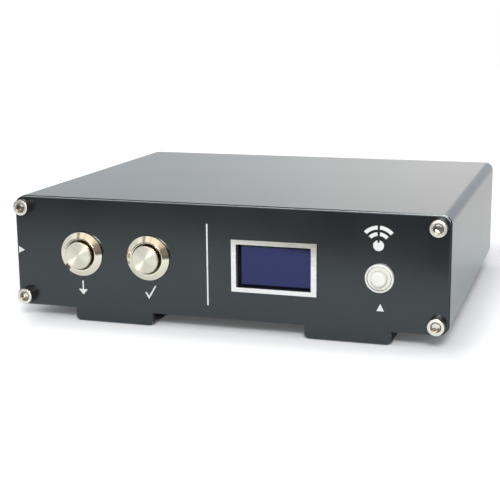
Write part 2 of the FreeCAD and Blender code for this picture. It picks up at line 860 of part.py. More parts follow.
def lamp_collar():
    """White collar round the lamp: a dished ring in the rim, with a sleeve down the tube."""
    rim, sleeve = "lamp_collar_diameter/2", "lamp_bore/2 - press_gap"
    hole = "dome_diameter/2 + press_gap"
    body = turned("lamp_collar", [
        (hole, "lamp_collar_dish - lamp_collar_height"), (rim, "-lamp_collar_height"),
        (rim, "-lamp_floor"), (sleeve, "-lamp_floor"), (sleeve, "lamp_collar_length"),
        (hole, "lamp_collar_length")])
    place(body, LAMP, "0", "lamp_level")
    return body


def lamp():
    """Frosted 5 mm lamp with a round dome, its foot against the collar and two legs behind."""
    radius, foot = "dome_diameter/2", "lamp_foot_diameter/2"
    body = turned("lamp", [
        ("0", "-dome_proud"), (radius, "-dome_proud"), (radius, "lamp_collar_length"),
        (foot, "lamp_collar_length"), (foot, LAMP_BACK), ("0", LAMP_BACK)])
    front = -size("dome_proud")
    dress(body, "Fillet", edges_where(body, lambda p: near(p.y, front)),
          "dome_diameter/2 - press_gap")
    legs = new_sketch(body, "XZ_Plane", LAMP_BACK)
    for side in ("-", ""):
        middle = f"{side}lamp_leg_spread/2"
        rectangle(legs, f"{middle} - lamp_leg/2", f"{middle} + lamp_leg/2", "-lamp_leg/2",
                  "lamp_leg/2")
    pad(body, legs, "lamp_leg_length")
    place(body, LAMP, "0", "lamp_level")
    return body


# ---------------------------------------------------------------- main board

def main_board():
    """Circuit board that slides in the sleeve's lowest card slots."""
    body = new_body("main_board")
    sketch = new_sketch(body, "XY_Plane")
    half = "(case_width/2 - wall - board_edge_gap)"
    rectangle(sketch, f"-{half}", half, BOARD_FRONT, BOARD_REAR)
    for across in (f"board_hole_inset - {half}", f"{half} - board_hole_inset"):
        for depth in (f"{BOARD_FRONT} + board_hole_inset", f"{BOARD_REAR} - board_hole_inset"):
            circle(sketch, across, depth, "board_hole")
    pad(body, sketch, "board_thickness", backwards=False)
    place(body, "0", "0", "board_level")
    return body


def antenna_relays():
    """A relay for each socket, in line with it."""
    body = block("antenna_relays", "relay_width", "relay_length", "relay_height")
    top = size("relay_height")
    dress(body, "Chamfer", edges_where(body, lambda p: near(p.z, top)), "relay_bevel")
    repeat(body, "X_Axis", "socket_pitch", SOCKETS)
    place(body, "radio_socket_centre", f"{BOARD_REAR} - relay_setback", BOARD_TOP)
    return body


def controller_chip():
    """Square chip with legs on all four sides."""
    body = block("controller_chip", "chip_size", "chip_size", "chip_height")
    legs = new_sketch(body, "XY_Plane")
    span = "chip_size + 2*chip_leg_reach"
    for number in range(CHIP_LEGS):
        middle = f"({number} - {(CHIP_LEGS - 1) // 2})*chip_leg_pitch"
        low, high = f"{middle} - chip_leg_width/2", f"{middle} + chip_leg_width/2"
        rectangle(legs, low, high, "chip_size/2", f"({span})/2")
        rectangle(legs, low, high, f"-({span})/2", "-chip_size/2")
        rectangle(legs, "chip_size/2", f"({span})/2", low, high)
        rectangle(legs, f"-({span})/2", "-chip_size/2", low, high)
    pad(body, legs, "chip_leg_thickness", backwards=False)
    place(body, "chip_centre", f"{BOARD_FRONT} + chip_setback", BOARD_TOP)
    return body


def controller_crystal():
    """Metal-cased crystal with round ends, beside the chip."""
    body = block("controller_crystal", "crystal_length", "crystal_width", "crystal_height")
    half_length, half_width = size("crystal_length") / 2, size("crystal_width") / 2
    upright = edges_where(body, lambda p: near(abs(p.x), half_length) and near(abs(p.y), half_width))
    dress(body, "Fillet", upright, "crystal_width/2 - press_gap")
    place(body, "chip_centre + crystal_spacing", f"{BOARD_FRONT} + chip_setback", BOARD_TOP)
    return body


def voltage_regulator():
    """Upright power chip with its cooling tab."""
    body = new_body("voltage_regulator")
    side = new_sketch(body, "YZ_Plane")
    outline(side, [("0", "0"), ("regulator_thickness", "0"),
                   ("regulator_thickness", "regulator_height"), ("regulator_tab", "regulator_height"),
                   ("regulator_tab", "regulator_tab_height"), ("0", "regulator_tab_height")])
    pad(body, side, "regulator_width", backwards=False, midplane=True)
    hole = new_sketch(body, "XZ_Plane")
    circle(hole, "0", "(regulator_height + regulator_tab_height)/2", "regulator_tab_hole")
    pocket(body, hole)
    place(body, f"{POWER} - regulator_offset", f"{BOARD_REAR} - regulator_setback", BOARD_TOP)
    return body


def smoothing_capacitors():
    """Two upright capacitors beside the power leads."""
    body = new_body("smoothing_capacitors")
    sketch = new_sketch(body, "XY_Plane")
    circle(sketch, "0", "0", "capacitor_diameter")
    pad(body, sketch, "capacitor_height", backwards=False)
    top = size("capacitor_height")
    dress(body, "Chamfer", edges_where(body, lambda p: near(p.z, top)), "relay_bevel")
    repeat(body, "X_Axis", "capacitor_pitch", 2)
    place(body, f"{POWER} - capacitor_pitch", f"{BOARD_REAR} - capacitor_setback", BOARD_TOP)
    return body


def display_header():
    """Header on the main board that takes the display's flat cable."""
    body = block("display_header", "header_width", "header_length", "header_height")
    place(body, DISPLAY, f"{BOARD_FRONT} + header_setback", BOARD_TOP)
    return body


def sensing_ring():
    """Ferrite ring that stands on the board, with the radio's line through its middle."""
    body = turned("sensing_ring", [
        ("ring_hole/2", "-ring_width/2"), ("ring_diameter/2", "-ring_width/2"),
        ("ring_diameter/2", "ring_width/2"), ("ring_hole/2", "ring_width/2")])
    place(body, "radio_socket_centre", f"{BOARD_REAR} - ring_setback",
          f"{BOARD_TOP} + ring_diameter/2")
    return body


def sensing_winding():
    """Turns of wire round the upper part of the ring."""
    body = new_body("sensing_winding")
    sketch = new_sketch(body, "YZ_Plane")
    for grow in ("winding_gap", "winding_gap + winding_wire"):
        rectangle(sketch, f"-(ring_width/2 + {grow})", f"ring_width/2 + {grow}",
                  f"ring_hole/2 - ({grow})", f"ring_diameter/2 + {grow}")
    pad(body, sketch, "winding_wire", backwards=False, midplane=True)
    doc.recompute()
    turns = body.newObject("PartDesign::PolarPattern", "sensing_turns")
    turns.TransformMode = "Whole shape"
    turns.Axis = (origin_of(body, "Y_Axis"), [""])
    turns.Angle = WINDING_ANGLE
    turns.Occurrences = WINDING_TURNS
    body.Tip = turns
    turn_back = FreeCAD.Rotation(FreeCAD.Vector(0, 1, 0), -WINDING_ANGLE / 2)
    body.Placement = FreeCAD.Placement(FreeCAD.Vector(), turn_back)
    place(body, "radio_socket_centre", f"{BOARD_REAR} - ring_setback",
          f"{BOARD_TOP} + ring_diameter/2")
    return body


# ---------------------------------------------------------------- coaxial sockets

def socket_shell(label):
    """Square flange with a threaded barrel outside and a short boss through the plate."""
    boss, thread = "boss_diameter/2", "socket_thread/2"
    mouth = "flange_thickness + socket_reach"
    body = turned(label, [
        ("boss_bore/2", "-boss_length"), (boss, "-boss_length"), (boss, "0"), (thread, "0"),
        (thread, f"{mouth} - socket_bevel"), (f"{thread} - socket_bevel", mouth),
        ("socket_bore/2", mouth), ("socket_bore/2", "socket_step"), ("boss_bore/2", "socket_step")])
    plate = new_sketch(body, "XZ_Plane")
    centred_rectangle(plate, "flange_size", "flange_size")
    circle(plate, "0", "0", "socket_thread - 2*socket_bevel")
    pad(body, plate, "flange_thickness")
    half = size("flange_size") / 2
    uprights = edges_where(body, lambda p: near(abs(p.x), half) and near(abs(p.z), half))
    dress(body, "Fillet", uprights, "flange_radius")
    holes = new_sketch(body, "XZ_Plane")
    for across, up in flange_hole_places():
        circle(holes, across, up, "screw_diameter + 2*screw_hole_gap")
    pocket(body, holes)
    return body


def socket_insulator(label):
    """White insulator that fills the barrel behind its open mouth."""
    wide, narrow = "socket_bore/2 - press_gap", "boss_bore/2 - press_gap"
    inner, face = "contact_diameter/2 + press_gap", "flange_thickness + socket_reach - socket_recess"
    tail = "-(boss_length + insulator_tail)"
    return turned(label, [
        (inner, tail), (narrow, tail), (narrow, "socket_step"), (wide, "socket_step"),
        (wide, face), (inner, face)])


def socket_contact(label):
    """Centre contact: a tube that takes the plug's pin in front, a solder cup behind."""
    radius, cup = "contact_diameter/2", "cup_diameter/2"
    mouth = "flange_thickness + socket_reach - socket_recess + contact_lead"
    tail = "-(boss_length + insulator_tail)"
    end = f"{tail} - cup_length"
    return turned(label, [
        ("0", f"{mouth} - pin_depth"), ("pin_bore/2", f"{mouth} - pin_depth"), ("pin_bore/2", mouth),
        (radius, mouth), (radius, tail), (cup, tail), (cup, end),
        ("link_diameter/2 + plate_hole_gap", end),
        ("link_diameter/2 + plate_hole_gap", f"{end} + cup_depth"), ("0", f"{end} + cup_depth")])


def coaxial_socket(name, number):
    pieces = [socket_shell(f"{name}_shell"), socket_insulator(f"{name}_insulator"),
              socket_contact(f"{name}_contact")]
    for piece in pieces:
        place(piece, socket_centre(number), REAR_FACE, "socket_level")
    return pieces


def socket_screws():
    """Four screws for each socket's flange, in tapped holes in the plate."""
    body = cap_screw("socket_screws")
    repeat(body, "X_Axis", "flange_hole_spacing", 2)
    repeat(body, "Z_Axis", "flange_hole_spacing", 2)
    repeat(body, "X_Axis", "socket_pitch", SOCKETS)
    body.Placement = FreeCAD.Placement(FreeCAD.Vector(), FreeCAD.Rotation(180, 0, 0))
    place(body, f"{socket_centre(SOCKETS - 1)} + flange_hole_spacing/2",
          f"{REAR_FACE} + flange_thickness", "socket_level - flange_hole_spacing/2")
    return body


# ---------------------------------------------------------------- power socket

def power_socket_body():
    """Round power socket: a flange outside the plate and a threaded body behind it."""
    thread, bore, hole = "power_thread/2", "power_bore/2", "power_pin/2 + press_gap"
    floor = "power_flange - power_bore_depth"
    body = turned("power_socket_body", [
        (hole, "-power_length"), (thread, "-power_length"), (thread, "0"),
        ("power_flange_diameter/2", "0"), ("power_flange_diameter/2", "power_flange - power_bevel"),
        ("power_flange_diameter/2 - power_bevel", "power_flange"), (bore, "power_flange"),
        (bore, floor), (hole, floor)])
    place(body, POWER, REAR_FACE, "socket_level")
    return body


def power_socket_pin():
    """Centre pin of the power socket, with its solder tail behind."""
    front, back = "power_flange - power_pin_lead", "-(power_length + power_tail)"
    body = turned("power_socket_pin", [
        ("0", back), ("power_pin/2", back), ("power_pin/2", front), ("0", front)])
    place(body, POWER, REAR_FACE, "socket_level")
    return body


def power_socket_nut():
    body = nut("power_socket_nut", "power_nut_across", "power_nut_thickness",
               "power_thread + 2*press_gap")
    place(body, POWER, "sleeve_length + plate_thickness - power_nut_thickness",
          "socket_level")
    return body


# ---------------------------------------------------------------- leads

def bent_lead(label, diameter, reach, drop, forwards):
    """Six-sided wire from the origin along Y, round one bend and down to the board."""
    body = new_body(label)
    route = new_sketch(body, "YZ_Plane")
    # The line is drawn roughly, then the reach, the bend and the drop set its true lengths.
    way, run = (-1 if forwards else 1), value(f"({drop})/2")
    bend = size("lead_bend")
    turn = Part.Circle(FreeCAD.Vector(way * run, -bend, 0), FreeCAD.Vector(0, 0, 1), bend)
    start_angle, end_angle = (math.pi / 2, math.pi) if forwards else (0, math.pi / 2)
    route.addGeometry(Part.LineSegment(FreeCAD.Vector(), FreeCAD.Vector(way * run, 0, 0)), False)
    route.addGeometry(Part.ArcOfCircle(turn, start_angle, end_angle), False)
    corner = way * (run + bend)
    route.addGeometry(Part.LineSegment(FreeCAD.Vector(corner, -bend, 0),
                                       FreeCAD.Vector(corner, -bend - run, 0)), False)
    upper, lower = (1, 2) if forwards else (2, 1)
    route.addConstraint([
        Sketcher.Constraint("Coincident", -1, 1, 0, 1),
        Sketcher.Constraint("Horizontal", 0),
        Sketcher.Constraint("Tangent", 0, 2, 1, upper),
        Sketcher.Constraint("Tangent", 1, lower, 2, 1),
        Sketcher.Constraint("Vertical", 2)])
    radius = route.addConstraint(Sketcher.Constraint("Radius", 1, bend))
    route.setExpression(f"Constraints[{radius}]", tied("lead_bend"))
    sign = "-" if forwards else ""
    across = route.addConstraint(Sketcher.Constraint("DistanceX", -1, 1, 2, 2, corner))
    route.setExpression(f"Constraints[{across}]", tied(f"{sign}({reach})"))
    down = route.addConstraint(Sketcher.Constraint("DistanceY", -1, 1, 2, 2, -bend - run))
    route.setExpression(f"Constraints[{down}]", tied(f"-({drop})"))
    section = new_sketch(body, "XZ_Plane")
    hexagon(section, f"{diameter}*sqrt(3)/2")
    pipe = body.newObject("PartDesign::AdditivePipe", f"{label}_pipe")
    pipe.Profile = section
    pipe.Spine = (route, ["Edge1", "Edge2", "Edge3"])
    body.Tip = pipe
    doc.recompute()
    return body


def bundle(label, bodies):
    """Several bodies that share one node, as separate solids."""
    group = doc.addObject("Part::Compound", label)
    group.Label = label
    group.Links = bodies
    return group


def panel_leads():
    """Leads from both buttons and the lamp down to the main board's front edge."""
    leads = []
    landing = f"{BOARD_FRONT} + lead_setback"
    for button, centre in BUTTONS.items():
        lead = bent_lead(f"{button}_pair", "lead_diameter", f"{landing} - ({TERMINAL_END})",
                         f"button_level - ({BOARD_TOP})", forwards=False)
        repeat(lead, "X_Axis", "terminal_spread", 2)
        place(lead, f"{centre} - terminal_spread/2", TERMINAL_END, "button_level")
        leads.append(lead)
    lamp_end = f"{LAMP_BACK} + lamp_leg_length"
    lead = bent_lead("lamp_pair", "lead_diameter", f"{landing} - ({lamp_end})",
                     f"lamp_level - ({BOARD_TOP})", forwards=False)
    repeat(lead, "X_Axis", "lamp_leg_spread", 2)
    place(lead, f"{LAMP} - lamp_leg_spread/2", lamp_end, "lamp_level")
    leads.append(lead)
    return bundle("panel_leads", leads)


def power_lead():
    """Lead from the power socket's tail down to the main board."""
    landing = f"({BOARD_REAR} - power_lead_setback)"
    body = bent_lead("power_lead", "lead_diameter",
                     f"{REAR_FACE} - power_length - power_tail - {landing}",
                     f"socket_level - ({BOARD_TOP})", forwards=True)
    place(body, POWER, f"{REAR_FACE} - power_length - power_tail", "socket_level")
    return body


def rf_links():
    """Stiff wires from the sockets' solder cups to the board. The radio's runs through the ring."""
    start = f"{REAR_FACE} - boss_length - insulator_tail - cup_length + cup_depth"
    body = bent_lead("rf_links", "link_diameter", f"{start} - ({BOARD_REAR} - link_setback)",
                     f"socket_level - ({BOARD_TOP})", forwards=True)
    repeat(body, "X_Axis", "socket_pitch", SOCKETS)
    place(body, "radio_socket_centre", start, "socket_level")
    return body


# ---------------------------------------------------------------- assembly

parts = [
    housing(), front_plate(), rear_plate(),
    plate_screws("front_plate_screws", rear=False), plate_screws("rear_plate_screws", rear=True),
    display_frame(), display_glass(), display_board(), display_posts(), display_screws(),
    display_ribbon(),
]
parts += push_button("step_button") + push_button("confirm_button")
lamp_nut = nut("lamp_nut", "lamp_nut_across", "lamp_nut_thickness", "lamp_thread + 2*press_gap")
place(lamp_nut, LAMP, "plate_thickness", "lamp_level")
parts += [
    lamp_bezel(), lamp_collar(), lamp(), lamp_nut,
    main_board(), antenna_relays(), controller_chip(), controller_crystal(), voltage_regulator(),
    smoothing_capacitors(), display_header(), sensing_ring(), sensing_winding(),
]
for position, name in enumerate(("radio_socket", "antenna_1_socket", "antenna_2_socket",
                                 "antenna_3_socket")):
    parts += coaxial_socket(name, position)
parts += [
    socket_screws(), power_socket_body(), power_socket_pin(), power_socket_nut(),
    panel_leads(), power_lead(), rf_links(),
]

doc.recompute()
for obj in doc.Objects:
    if "Invalid" in obj.State or "Error" in obj.State:
        raise RuntimeError(f"{obj.Label}: {obj.State}")
for part in parts:
    if part.Shape.isNull() or not part.Shape.isValid() or not part.Shape.Solids:
        raise RuntimeError(f"{part.Label}: no valid solid")

os.makedirs("parts", exist_ok=True)
for part in parts:
    part.Shape.exportStep(f"parts/{part.Label}.step")
print(len(parts), "sub-parts,", sum(len(part.Shape.Solids) for part in parts), "solids")
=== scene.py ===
import math

import bmesh
import bpy
from mathutils import Matrix, Vector


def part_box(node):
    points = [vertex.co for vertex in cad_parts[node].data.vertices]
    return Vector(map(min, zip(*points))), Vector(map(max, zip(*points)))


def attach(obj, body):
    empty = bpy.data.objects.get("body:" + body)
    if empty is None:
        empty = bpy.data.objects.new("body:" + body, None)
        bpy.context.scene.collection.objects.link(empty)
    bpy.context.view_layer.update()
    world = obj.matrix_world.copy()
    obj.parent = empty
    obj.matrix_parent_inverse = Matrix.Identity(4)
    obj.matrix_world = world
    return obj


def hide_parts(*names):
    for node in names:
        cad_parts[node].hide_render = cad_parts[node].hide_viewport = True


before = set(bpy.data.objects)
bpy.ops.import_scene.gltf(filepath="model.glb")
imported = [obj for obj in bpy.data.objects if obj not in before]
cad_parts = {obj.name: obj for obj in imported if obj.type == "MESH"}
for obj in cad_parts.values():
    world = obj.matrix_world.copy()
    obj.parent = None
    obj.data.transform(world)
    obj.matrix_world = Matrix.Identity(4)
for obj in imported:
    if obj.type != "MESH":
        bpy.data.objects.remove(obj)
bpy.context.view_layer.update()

# ------------------------------------------------------------------------------------ camera
# A long lens on a square frame, above the case and to the right of it, turned down a little so
# that the front plate and the top both show.

camera_data = bpy.data.cameras.new("camera")
camera_data.lens = 80.761
camera_data.sensor_width = 36.0
camera = bpy.data.objects.new("camera", camera_data)
camera_place = (0.117149, -0.402883, 0.104323)
camera_axes = Matrix(((0.95293340, -0.05656334, 0.29785653),
                      (0.30306888, 0.20428040, -0.93081618),
                      (-0.00819618, 0.97727688, 0.21180821)))
camera.matrix_world = Matrix.Translation(camera_place) @ camera_axes.to_4x4()
bpy.context.scene.collection.objects.link(camera)
bpy.context.scene.camera = camera
bpy.context.scene.view_settings.view_transform = "Standard"

# ------------------------------------------------------------------------------------ floor
# A sheet of plain white paper that the case stands on, with a dim table beyond its front edge.
# It shows white to the lens and in reflections, and darkens where the case shades it. Its own
# glow to the lens is held low in a band round the case, which paints shade there.


def link_piece(bm, name):
    """Makes a mesh object of a bmesh, at the origin."""
    mesh = bpy.data.meshes.new(name)
    bm.to_mesh(mesh)
    bm.free()
    piece = bpy.data.objects.new(name, mesh)
    bpy.context.scene.collection.objects.link(piece)
    return piece


def add_node(finish, kind, given=None, **settings):
    """Adds a shader node. Given is a dict of its sockets to numbers, colours or other sockets."""
    made = finish.node_tree.nodes.new(f"ShaderNode{kind}")
    for name, setting in settings.items():
        setattr(made, name, setting)
    for socket, source in (given or {}).items():
        if isinstance(source, bpy.types.NodeSocket):
            finish.node_tree.links.new(source, made.inputs[socket])
        else:
            made.inputs[socket].default_value = source
    return made


def reckon(finish, operation, first, second):
    """One step of arithmetic on two numbers or sockets."""
    return add_node(finish, "Math", {0: first, 1: second}, operation=operation).outputs[0]


def ramp_between(finish, amount, span, low=0.0, high=1.0):
    """Goes smoothly from low to high while an amount goes over a span."""
    start, stop = span
    return add_node(finish, "MapRange", {"Value": amount, "From Min": start, "From Max": stop,
                                         "To Min": low, "To Max": high},
                    interpolation_type="SMOOTHSTEP").outputs[0]


def blend_colours(finish, factor, first, second):
    """Goes from one colour to another, each of them three numbers or a socket."""
    given = {0: factor}
    for socket, colour in ((6, first), (7, second)):
        given[socket] = colour if isinstance(colour, bpy.types.NodeSocket) else (*colour, 1)
    return add_node(finish, "Mix", given, data_type="RGBA").outputs[2]


def seen_directly(finish):
    """One for what the lens sees, straight or in metal or glass, and nothing for other light."""
    path = add_node(finish, "LightPath").outputs
    direct = reckon(finish, "MAXIMUM", path["Is Camera Ray"], path["Is Glossy Ray"])
    return reckon(finish, "MAXIMUM", direct, path["Is Transmission Ray"])


FLOOR_HALF, FLOOR_DROP = 1.5, 0.0001
PAPER_COLOUR = (0.80, 0.80, 0.80)
PAPER_SEEN = (0.965, 0.98, 0.995)
PAPER_MIRRORED, PAPER_BEHIND = (0.92, 0.98, 0.99), (1, 1, 1)
# Each pair is where a change starts and where it is done, in metres.
FAR_BEHIND = (0.03, 0.20)
# The paper's own glow to the lens: low in the band round the case that holds painted shade, and
# full beyond it.
SHADE_LIFT, FULL_LIFT = 0.07, 0.46
SHADE_LEFT, SHADE_RIGHT = (-0.089, -0.106), (0.072, 0.092)
SHADE_FRONT, SHADE_BACK = (-0.066, -0.098), (0.07, 0.14)
LEFTWARDS = (0.866, 0.5, 0)
PAPER_EDGE, EDGE_SLANT, CORNER_DEPTH = -0.184, 0.46, 0.030
EDGE_BLUR, TABLE_FADE = 0.01, 0.10
TABLE_BEYOND, TABLE_FAR = (0.31, 0.29, 0.22), (0.085, 0.097, 0.113)

floor_mesh = bmesh.new()
bmesh.ops.create_grid(floor_mesh, x_segments=1, y_segments=1, size=FLOOR_HALF)
bmesh.ops.translate(floor_mesh, verts=floor_mesh.verts, vec=(0, 0, -FLOOR_DROP))
floor = link_piece(floor_mesh, "floor")
paper = bpy.data.materials.new("white_paper")
paper.use_nodes = True
paper.node_tree.nodes.clear()
spot = add_node(paper, "TexCoord").outputs["Object"]
across, along, _ = add_node(paper, "SeparateXYZ", {0: spot}).outputs
to_left = add_node(paper, "VectorMath", {0: spot, 1: LEFTWARDS},
                   operation="DOT_PRODUCT").outputs["Value"]
# The glow is held low near the case on every side, as painted shade round it.
glow_held_low_near_case = 0.0
for place, span in ((to_left, SHADE_LEFT), (across, SHADE_RIGHT), (along, SHADE_FRONT),
                    (along, SHADE_BACK)):
    clear = ramp_between(paper, place, span, SHADE_LIFT, FULL_LIFT)
    glow_held_low_near_case = reckon(paper, "MAXIMUM", glow_held_low_near_case, clear)
slant = reckon(paper, "MAXIMUM", reckon(paper, "MULTIPLY", across, EDGE_SLANT), -CORNER_DEPTH)
past_edge = reckon(paper, "SUBTRACT", along, slant)
paper_end = ramp_between(paper, past_edge, (PAPER_EDGE - EDGE_BLUR, PAPER_EDGE))
path = add_node(paper, "LightPath").outputs
mirrored = path["Is Glossy Ray"]
on_paper = reckon(paper, "MAXIMUM", paper_end, reckon(paper, "SUBTRACT", 1.0, mirrored))
glow_held_low_near_case = reckon(paper, "MULTIPLY", glow_held_low_near_case, path["Is Camera Ray"])
own_light = add_node(paper, "Emission", {"Color": (1, 1, 1, 1), "Strength": glow_held_low_near_case})
far = ramp_between(paper, along, FAR_BEHIND)
reflected = blend_colours(paper, far, PAPER_MIRRORED, PAPER_BEHIND)
shown = blend_colours(paper, mirrored, PAPER_SEEN, reflected)
whiteness = blend_colours(paper, seen_directly(paper), PAPER_COLOUR, shown)
matt = add_node(paper, "BsdfDiffuse", {"Color": whiteness})
lit = add_node(paper, "AddShader", {0: matt.outputs[0], 1: own_light.outputs[0]})
fading = ramp_between(paper, past_edge, (PAPER_EDGE - TABLE_FADE, PAPER_EDGE), 1.0, 0.0)
table = blend_colours(paper, fading, TABLE_BEYOND, TABLE_FAR)
beyond = add_node(paper, "Emission", {"Color": table, "Strength": 1.0})
seen = add_node(paper, "MixShader", {0: on_paper, 1: beyond.outputs[0], 2: lit.outputs[0]})
add_node(paper, "OutputMaterial", {"Surface": seen.outputs[0]})
floor.data.materials.append(paper)

# ------------------------------------------------------------------------------------ light
# A white tent behind and beside the case, fuller from the left, and open in front towards a dim
# room. One soft lamp above the front lights the case, and another before it only glints in what
# is polished.


def within(finish, amount, start, stop, edge):
    """One where an amount is between two values and nothing outside them."""
    up = ramp_between(finish, amount, (start - edge, start + edge))
    down = ramp_between(finish, amount, (stop - edge, stop + edge), 1.0, 0.0)
    return reckon(finish, "MULTIPLY", up, down)


WHITE = (1, 1, 1)
TENT_LIGHT, LEFT_LIGHT, RIGHT_LIGHT = 0.62, 1.25, 0.75
SIDES_SHOWN, LEFT_BEHIND, REAR_CORNER = (1, 1, 0.99), (0.66, 0.71, 0.74), (0.615, 0.67, 0.715)
# Places in the tent are counted across, ahead and up, as parts of a direction one long.
FILL_ACROSS, LEFT_TO_RIGHT = (-0.8, 0.8), (-0.42, -0.10)
OPEN_FRONT, TENT_BACK = (-0.30, -0.55), (0.5, 0.7)
CORNER_ACROSS, CORNER_UP = (-0.09, -0.02), (0.20, 0.30)
# What shows in the open front, each piece over the one before it: its two ends, the blur of
# them and its colour.
ROOM_PIECES = (((-0.28, 0.27), 0.05, (1.0, 0.95, 0.80)),
               ((-0.20, -0.16), 0.01, (0.62, 0.48, 0.24)),
               ((0.27, 0.55), 0.03, (0.72, 0.62, 0.44)))
FLAG_ACROSS, FLAG_BLUR, FLAG_UP, FLAG = (-0.58, -0.44), 0.02, (0.46, 0.54), (0.36, 0.32, 0.22)
ROOM_UP, ROOM = (0.34, 0.46), (0.200, 0.172, 0.144)

world = bpy.data.worlds.new("tent")
bpy.context.scene.world = world
world.use_nodes = True
world.node_tree.nodes.clear()
bearing = add_node(world, "SeparateXYZ", {0: add_node(world, "TexCoord").outputs["Generated"]})
aside, ahead, up = bearing.outputs
in_front = ramp_between(world, ahead, OPEN_FRONT)
left = blend_colours(world, in_front, LEFT_BEHIND, SIDES_SHOWN)
wall = blend_colours(world, ramp_between(world, aside, LEFT_TO_RIGHT), left, SIDES_SHOWN)
corner = reckon(world, "MULTIPLY", ramp_between(world, aside, CORNER_ACROSS),
                ramp_between(world, up, CORNER_UP, 1.0, 0.0))
corner = reckon(world, "MULTIPLY", corner, ramp_between(world, ahead, TENT_BACK))
wall = blend_colours(world, corner, wall, REAR_CORNER)
for ends, blur, shade in ROOM_PIECES:
    patch = reckon(world, "MULTIPLY", within(world, aside, *ends, blur), in_front)
    wall = blend_colours(world, patch, wall, shade)
flag = reckon(world, "MULTIPLY", within(world, aside, *FLAG_ACROSS, FLAG_BLUR),
              ramp_between(world, up, FLAG_UP))
wall = blend_colours(world, reckon(world, "MULTIPLY", flag, in_front), wall, FLAG)
dim = reckon(world, "MULTIPLY", in_front, ramp_between(world, up, ROOM_UP, 1.0, 0.0))
wall = blend_colours(world, dim, wall, ROOM)
fill = ramp_between(world, aside, FILL_ACROSS, TENT_LIGHT * LEFT_LIGHT, TENT_LIGHT * RIGHT_LIGHT)
fill = add_node(world, "CombineColor", {0: fill, 1: fill, 2: fill}).outputs[0]
path = add_node(world, "LightPath").outputs
colour = blend_colours(world, path["Is Glossy Ray"], fill, wall)
straight = reckon(world, "MAXIMUM", path["Is Camera Ray"], path["Is Transmission Ray"])
colour = blend_colours(world, straight, colour, WHITE)
tent = add_node(world, "Background", {"Color": colour, "Strength": 1.0})
add_node(world, "OutputWorld", {"Surface": tent.outputs[0]})

LAMP_DISTANCE, LAMP_WIDTH = 0.9, 0.25
for lamp_name, direction, watts, hidden_from in (
        ("key", (0.24, -0.80, 0.55), 3.7, "visible_glossy"),
        ("glint", (0.055, -0.956, 0.289), 2.6, "visible_diffuse")):
    lamp_data = bpy.data.lights.new(lamp_name, "AREA")
    lamp_data.shape = "DISK"
    lamp_data.size = LAMP_WIDTH
    lamp_data.energy = watts
    lamp = bpy.data.objects.new(lamp_name, lamp_data)
    towards = Vector(direction).normalized()
    lamp.matrix_world = (Matrix.Translation(towards * LAMP_DISTANCE)
                         @ towards.to_track_quat("Z", "Y").to_matrix().to_4x4())
    setattr(lamp, hidden_from, False)
    bpy.context.scene.collection.objects.link(lamp)

# ------------------------------------------------------------------------------------ housing
# Extruded aluminium sleeve with two foot rails, bead blasted and dyed black in the anodising.
# Its faces keep a trace of the die's lines along their length.

# Sizes of pieces are in millimetres, and the scene is in metres.
MM = 0.001


def new_finish(name, colour, roughness, metallic=0.0, **sockets):
    """A material with its plain values set on the shader itself."""
    finish = bpy.data.materials.new(name)
    finish.use_nodes = True
    shader = finish.node_tree.nodes["Principled BSDF"]
    shader.inputs["Base Color"].default_value = (*colour, 1)
    shader.inputs["Roughness"].default_value = roughness
    shader.inputs["Metallic"].default_value = metallic
    for socket, amount in sockets.items():
        shader.inputs[socket.replace("_", " ")].default_value = amount
    return finish


def noise_on(finish, grains_per_mm, stretch=(1, 1, 1), detail=3.0):
    """Noise in the piece's own space. Stretch lengthens the grains along an axis."""
    where = add_node(finish, "TexCoord")
    scale = [grains_per_mm / MM / s for s in stretch]
    moved = add_node(finish, "Mapping", {"Vector": where.outputs["Object"], "Scale": scale})
    return add_node(finish, "TexNoise", {"Vector": moved.outputs[0], "Scale": 1.0,
                                         "Detail": detail}).outputs["Fac"]


NOISE_LOW, NOISE_HIGH = 0.35, 0.65


def spread(finish, noise, low, high):
    """Carries a noise, which stays mostly near its middle, to a span of numbers."""
    return add_node(finish, "MapRange", {"Value": noise, "From Min": NOISE_LOW,
                                         "From Max": NOISE_HIGH, "To Min": low,
                                         "To Max": high}).outputs[0]


def join_shader(finish, **sources):
    """Links sockets of the main shader by name."""
    shader = finish.node_tree.nodes["Principled BSDF"]
    for socket, source in sources.items():
        finish.node_tree.links.new(source, shader.inputs[socket.replace("_", " ")])


def relief(finish, height, depth_mm, strength):
    """Bump of a real depth in millimetres."""
    return add_node(finish, "Bump", {"Height": height, "Distance": depth_mm * MM,
                                     "Strength": strength}).outputs[0]


def smooth_by_angle(piece, degrees):
    """Rounds the shading over shallow edges and keeps large faces flat."""
    for face in piece.data.polygons:
        face.use_smooth = True
    piece.data.set_sharp_from_angle(angle=math.radians(degrees))
    piece.modifiers.new("flats", "WEIGHTED_NORMAL").keep_sharp = True


def settle(piece, body, slot, finish, *nodes):
    """Gives a piece its finish and its body, and hides the nodes that it stands for. The slot is
    not used.
    """
    piece.data.materials.clear()
    piece.data.materials.append(finish)
    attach(piece, body)
    if nodes:
        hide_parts(*nodes)


def merged_copy(node, name):
    """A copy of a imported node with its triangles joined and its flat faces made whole."""
    bm = bmesh.new()
    bm.from_mesh(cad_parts[node].data)
    bmesh.ops.remove_doubles(bm, verts=bm.verts, dist=1e-6)
    bmesh.ops.dissolve_limit(bm, angle_limit=math.radians(0.5), verts=bm.verts, edges=bm.edges,
                             delimit={"NORMAL"})
    piece = link_piece(bm, name)
    smooth_by_angle(piece, 30)
    return piece


ANODISED_BLACK = (0.0085, 0.0100, 0.0120)
ANODISED_GREY = (0.0115, 0.0125, 0.0120)

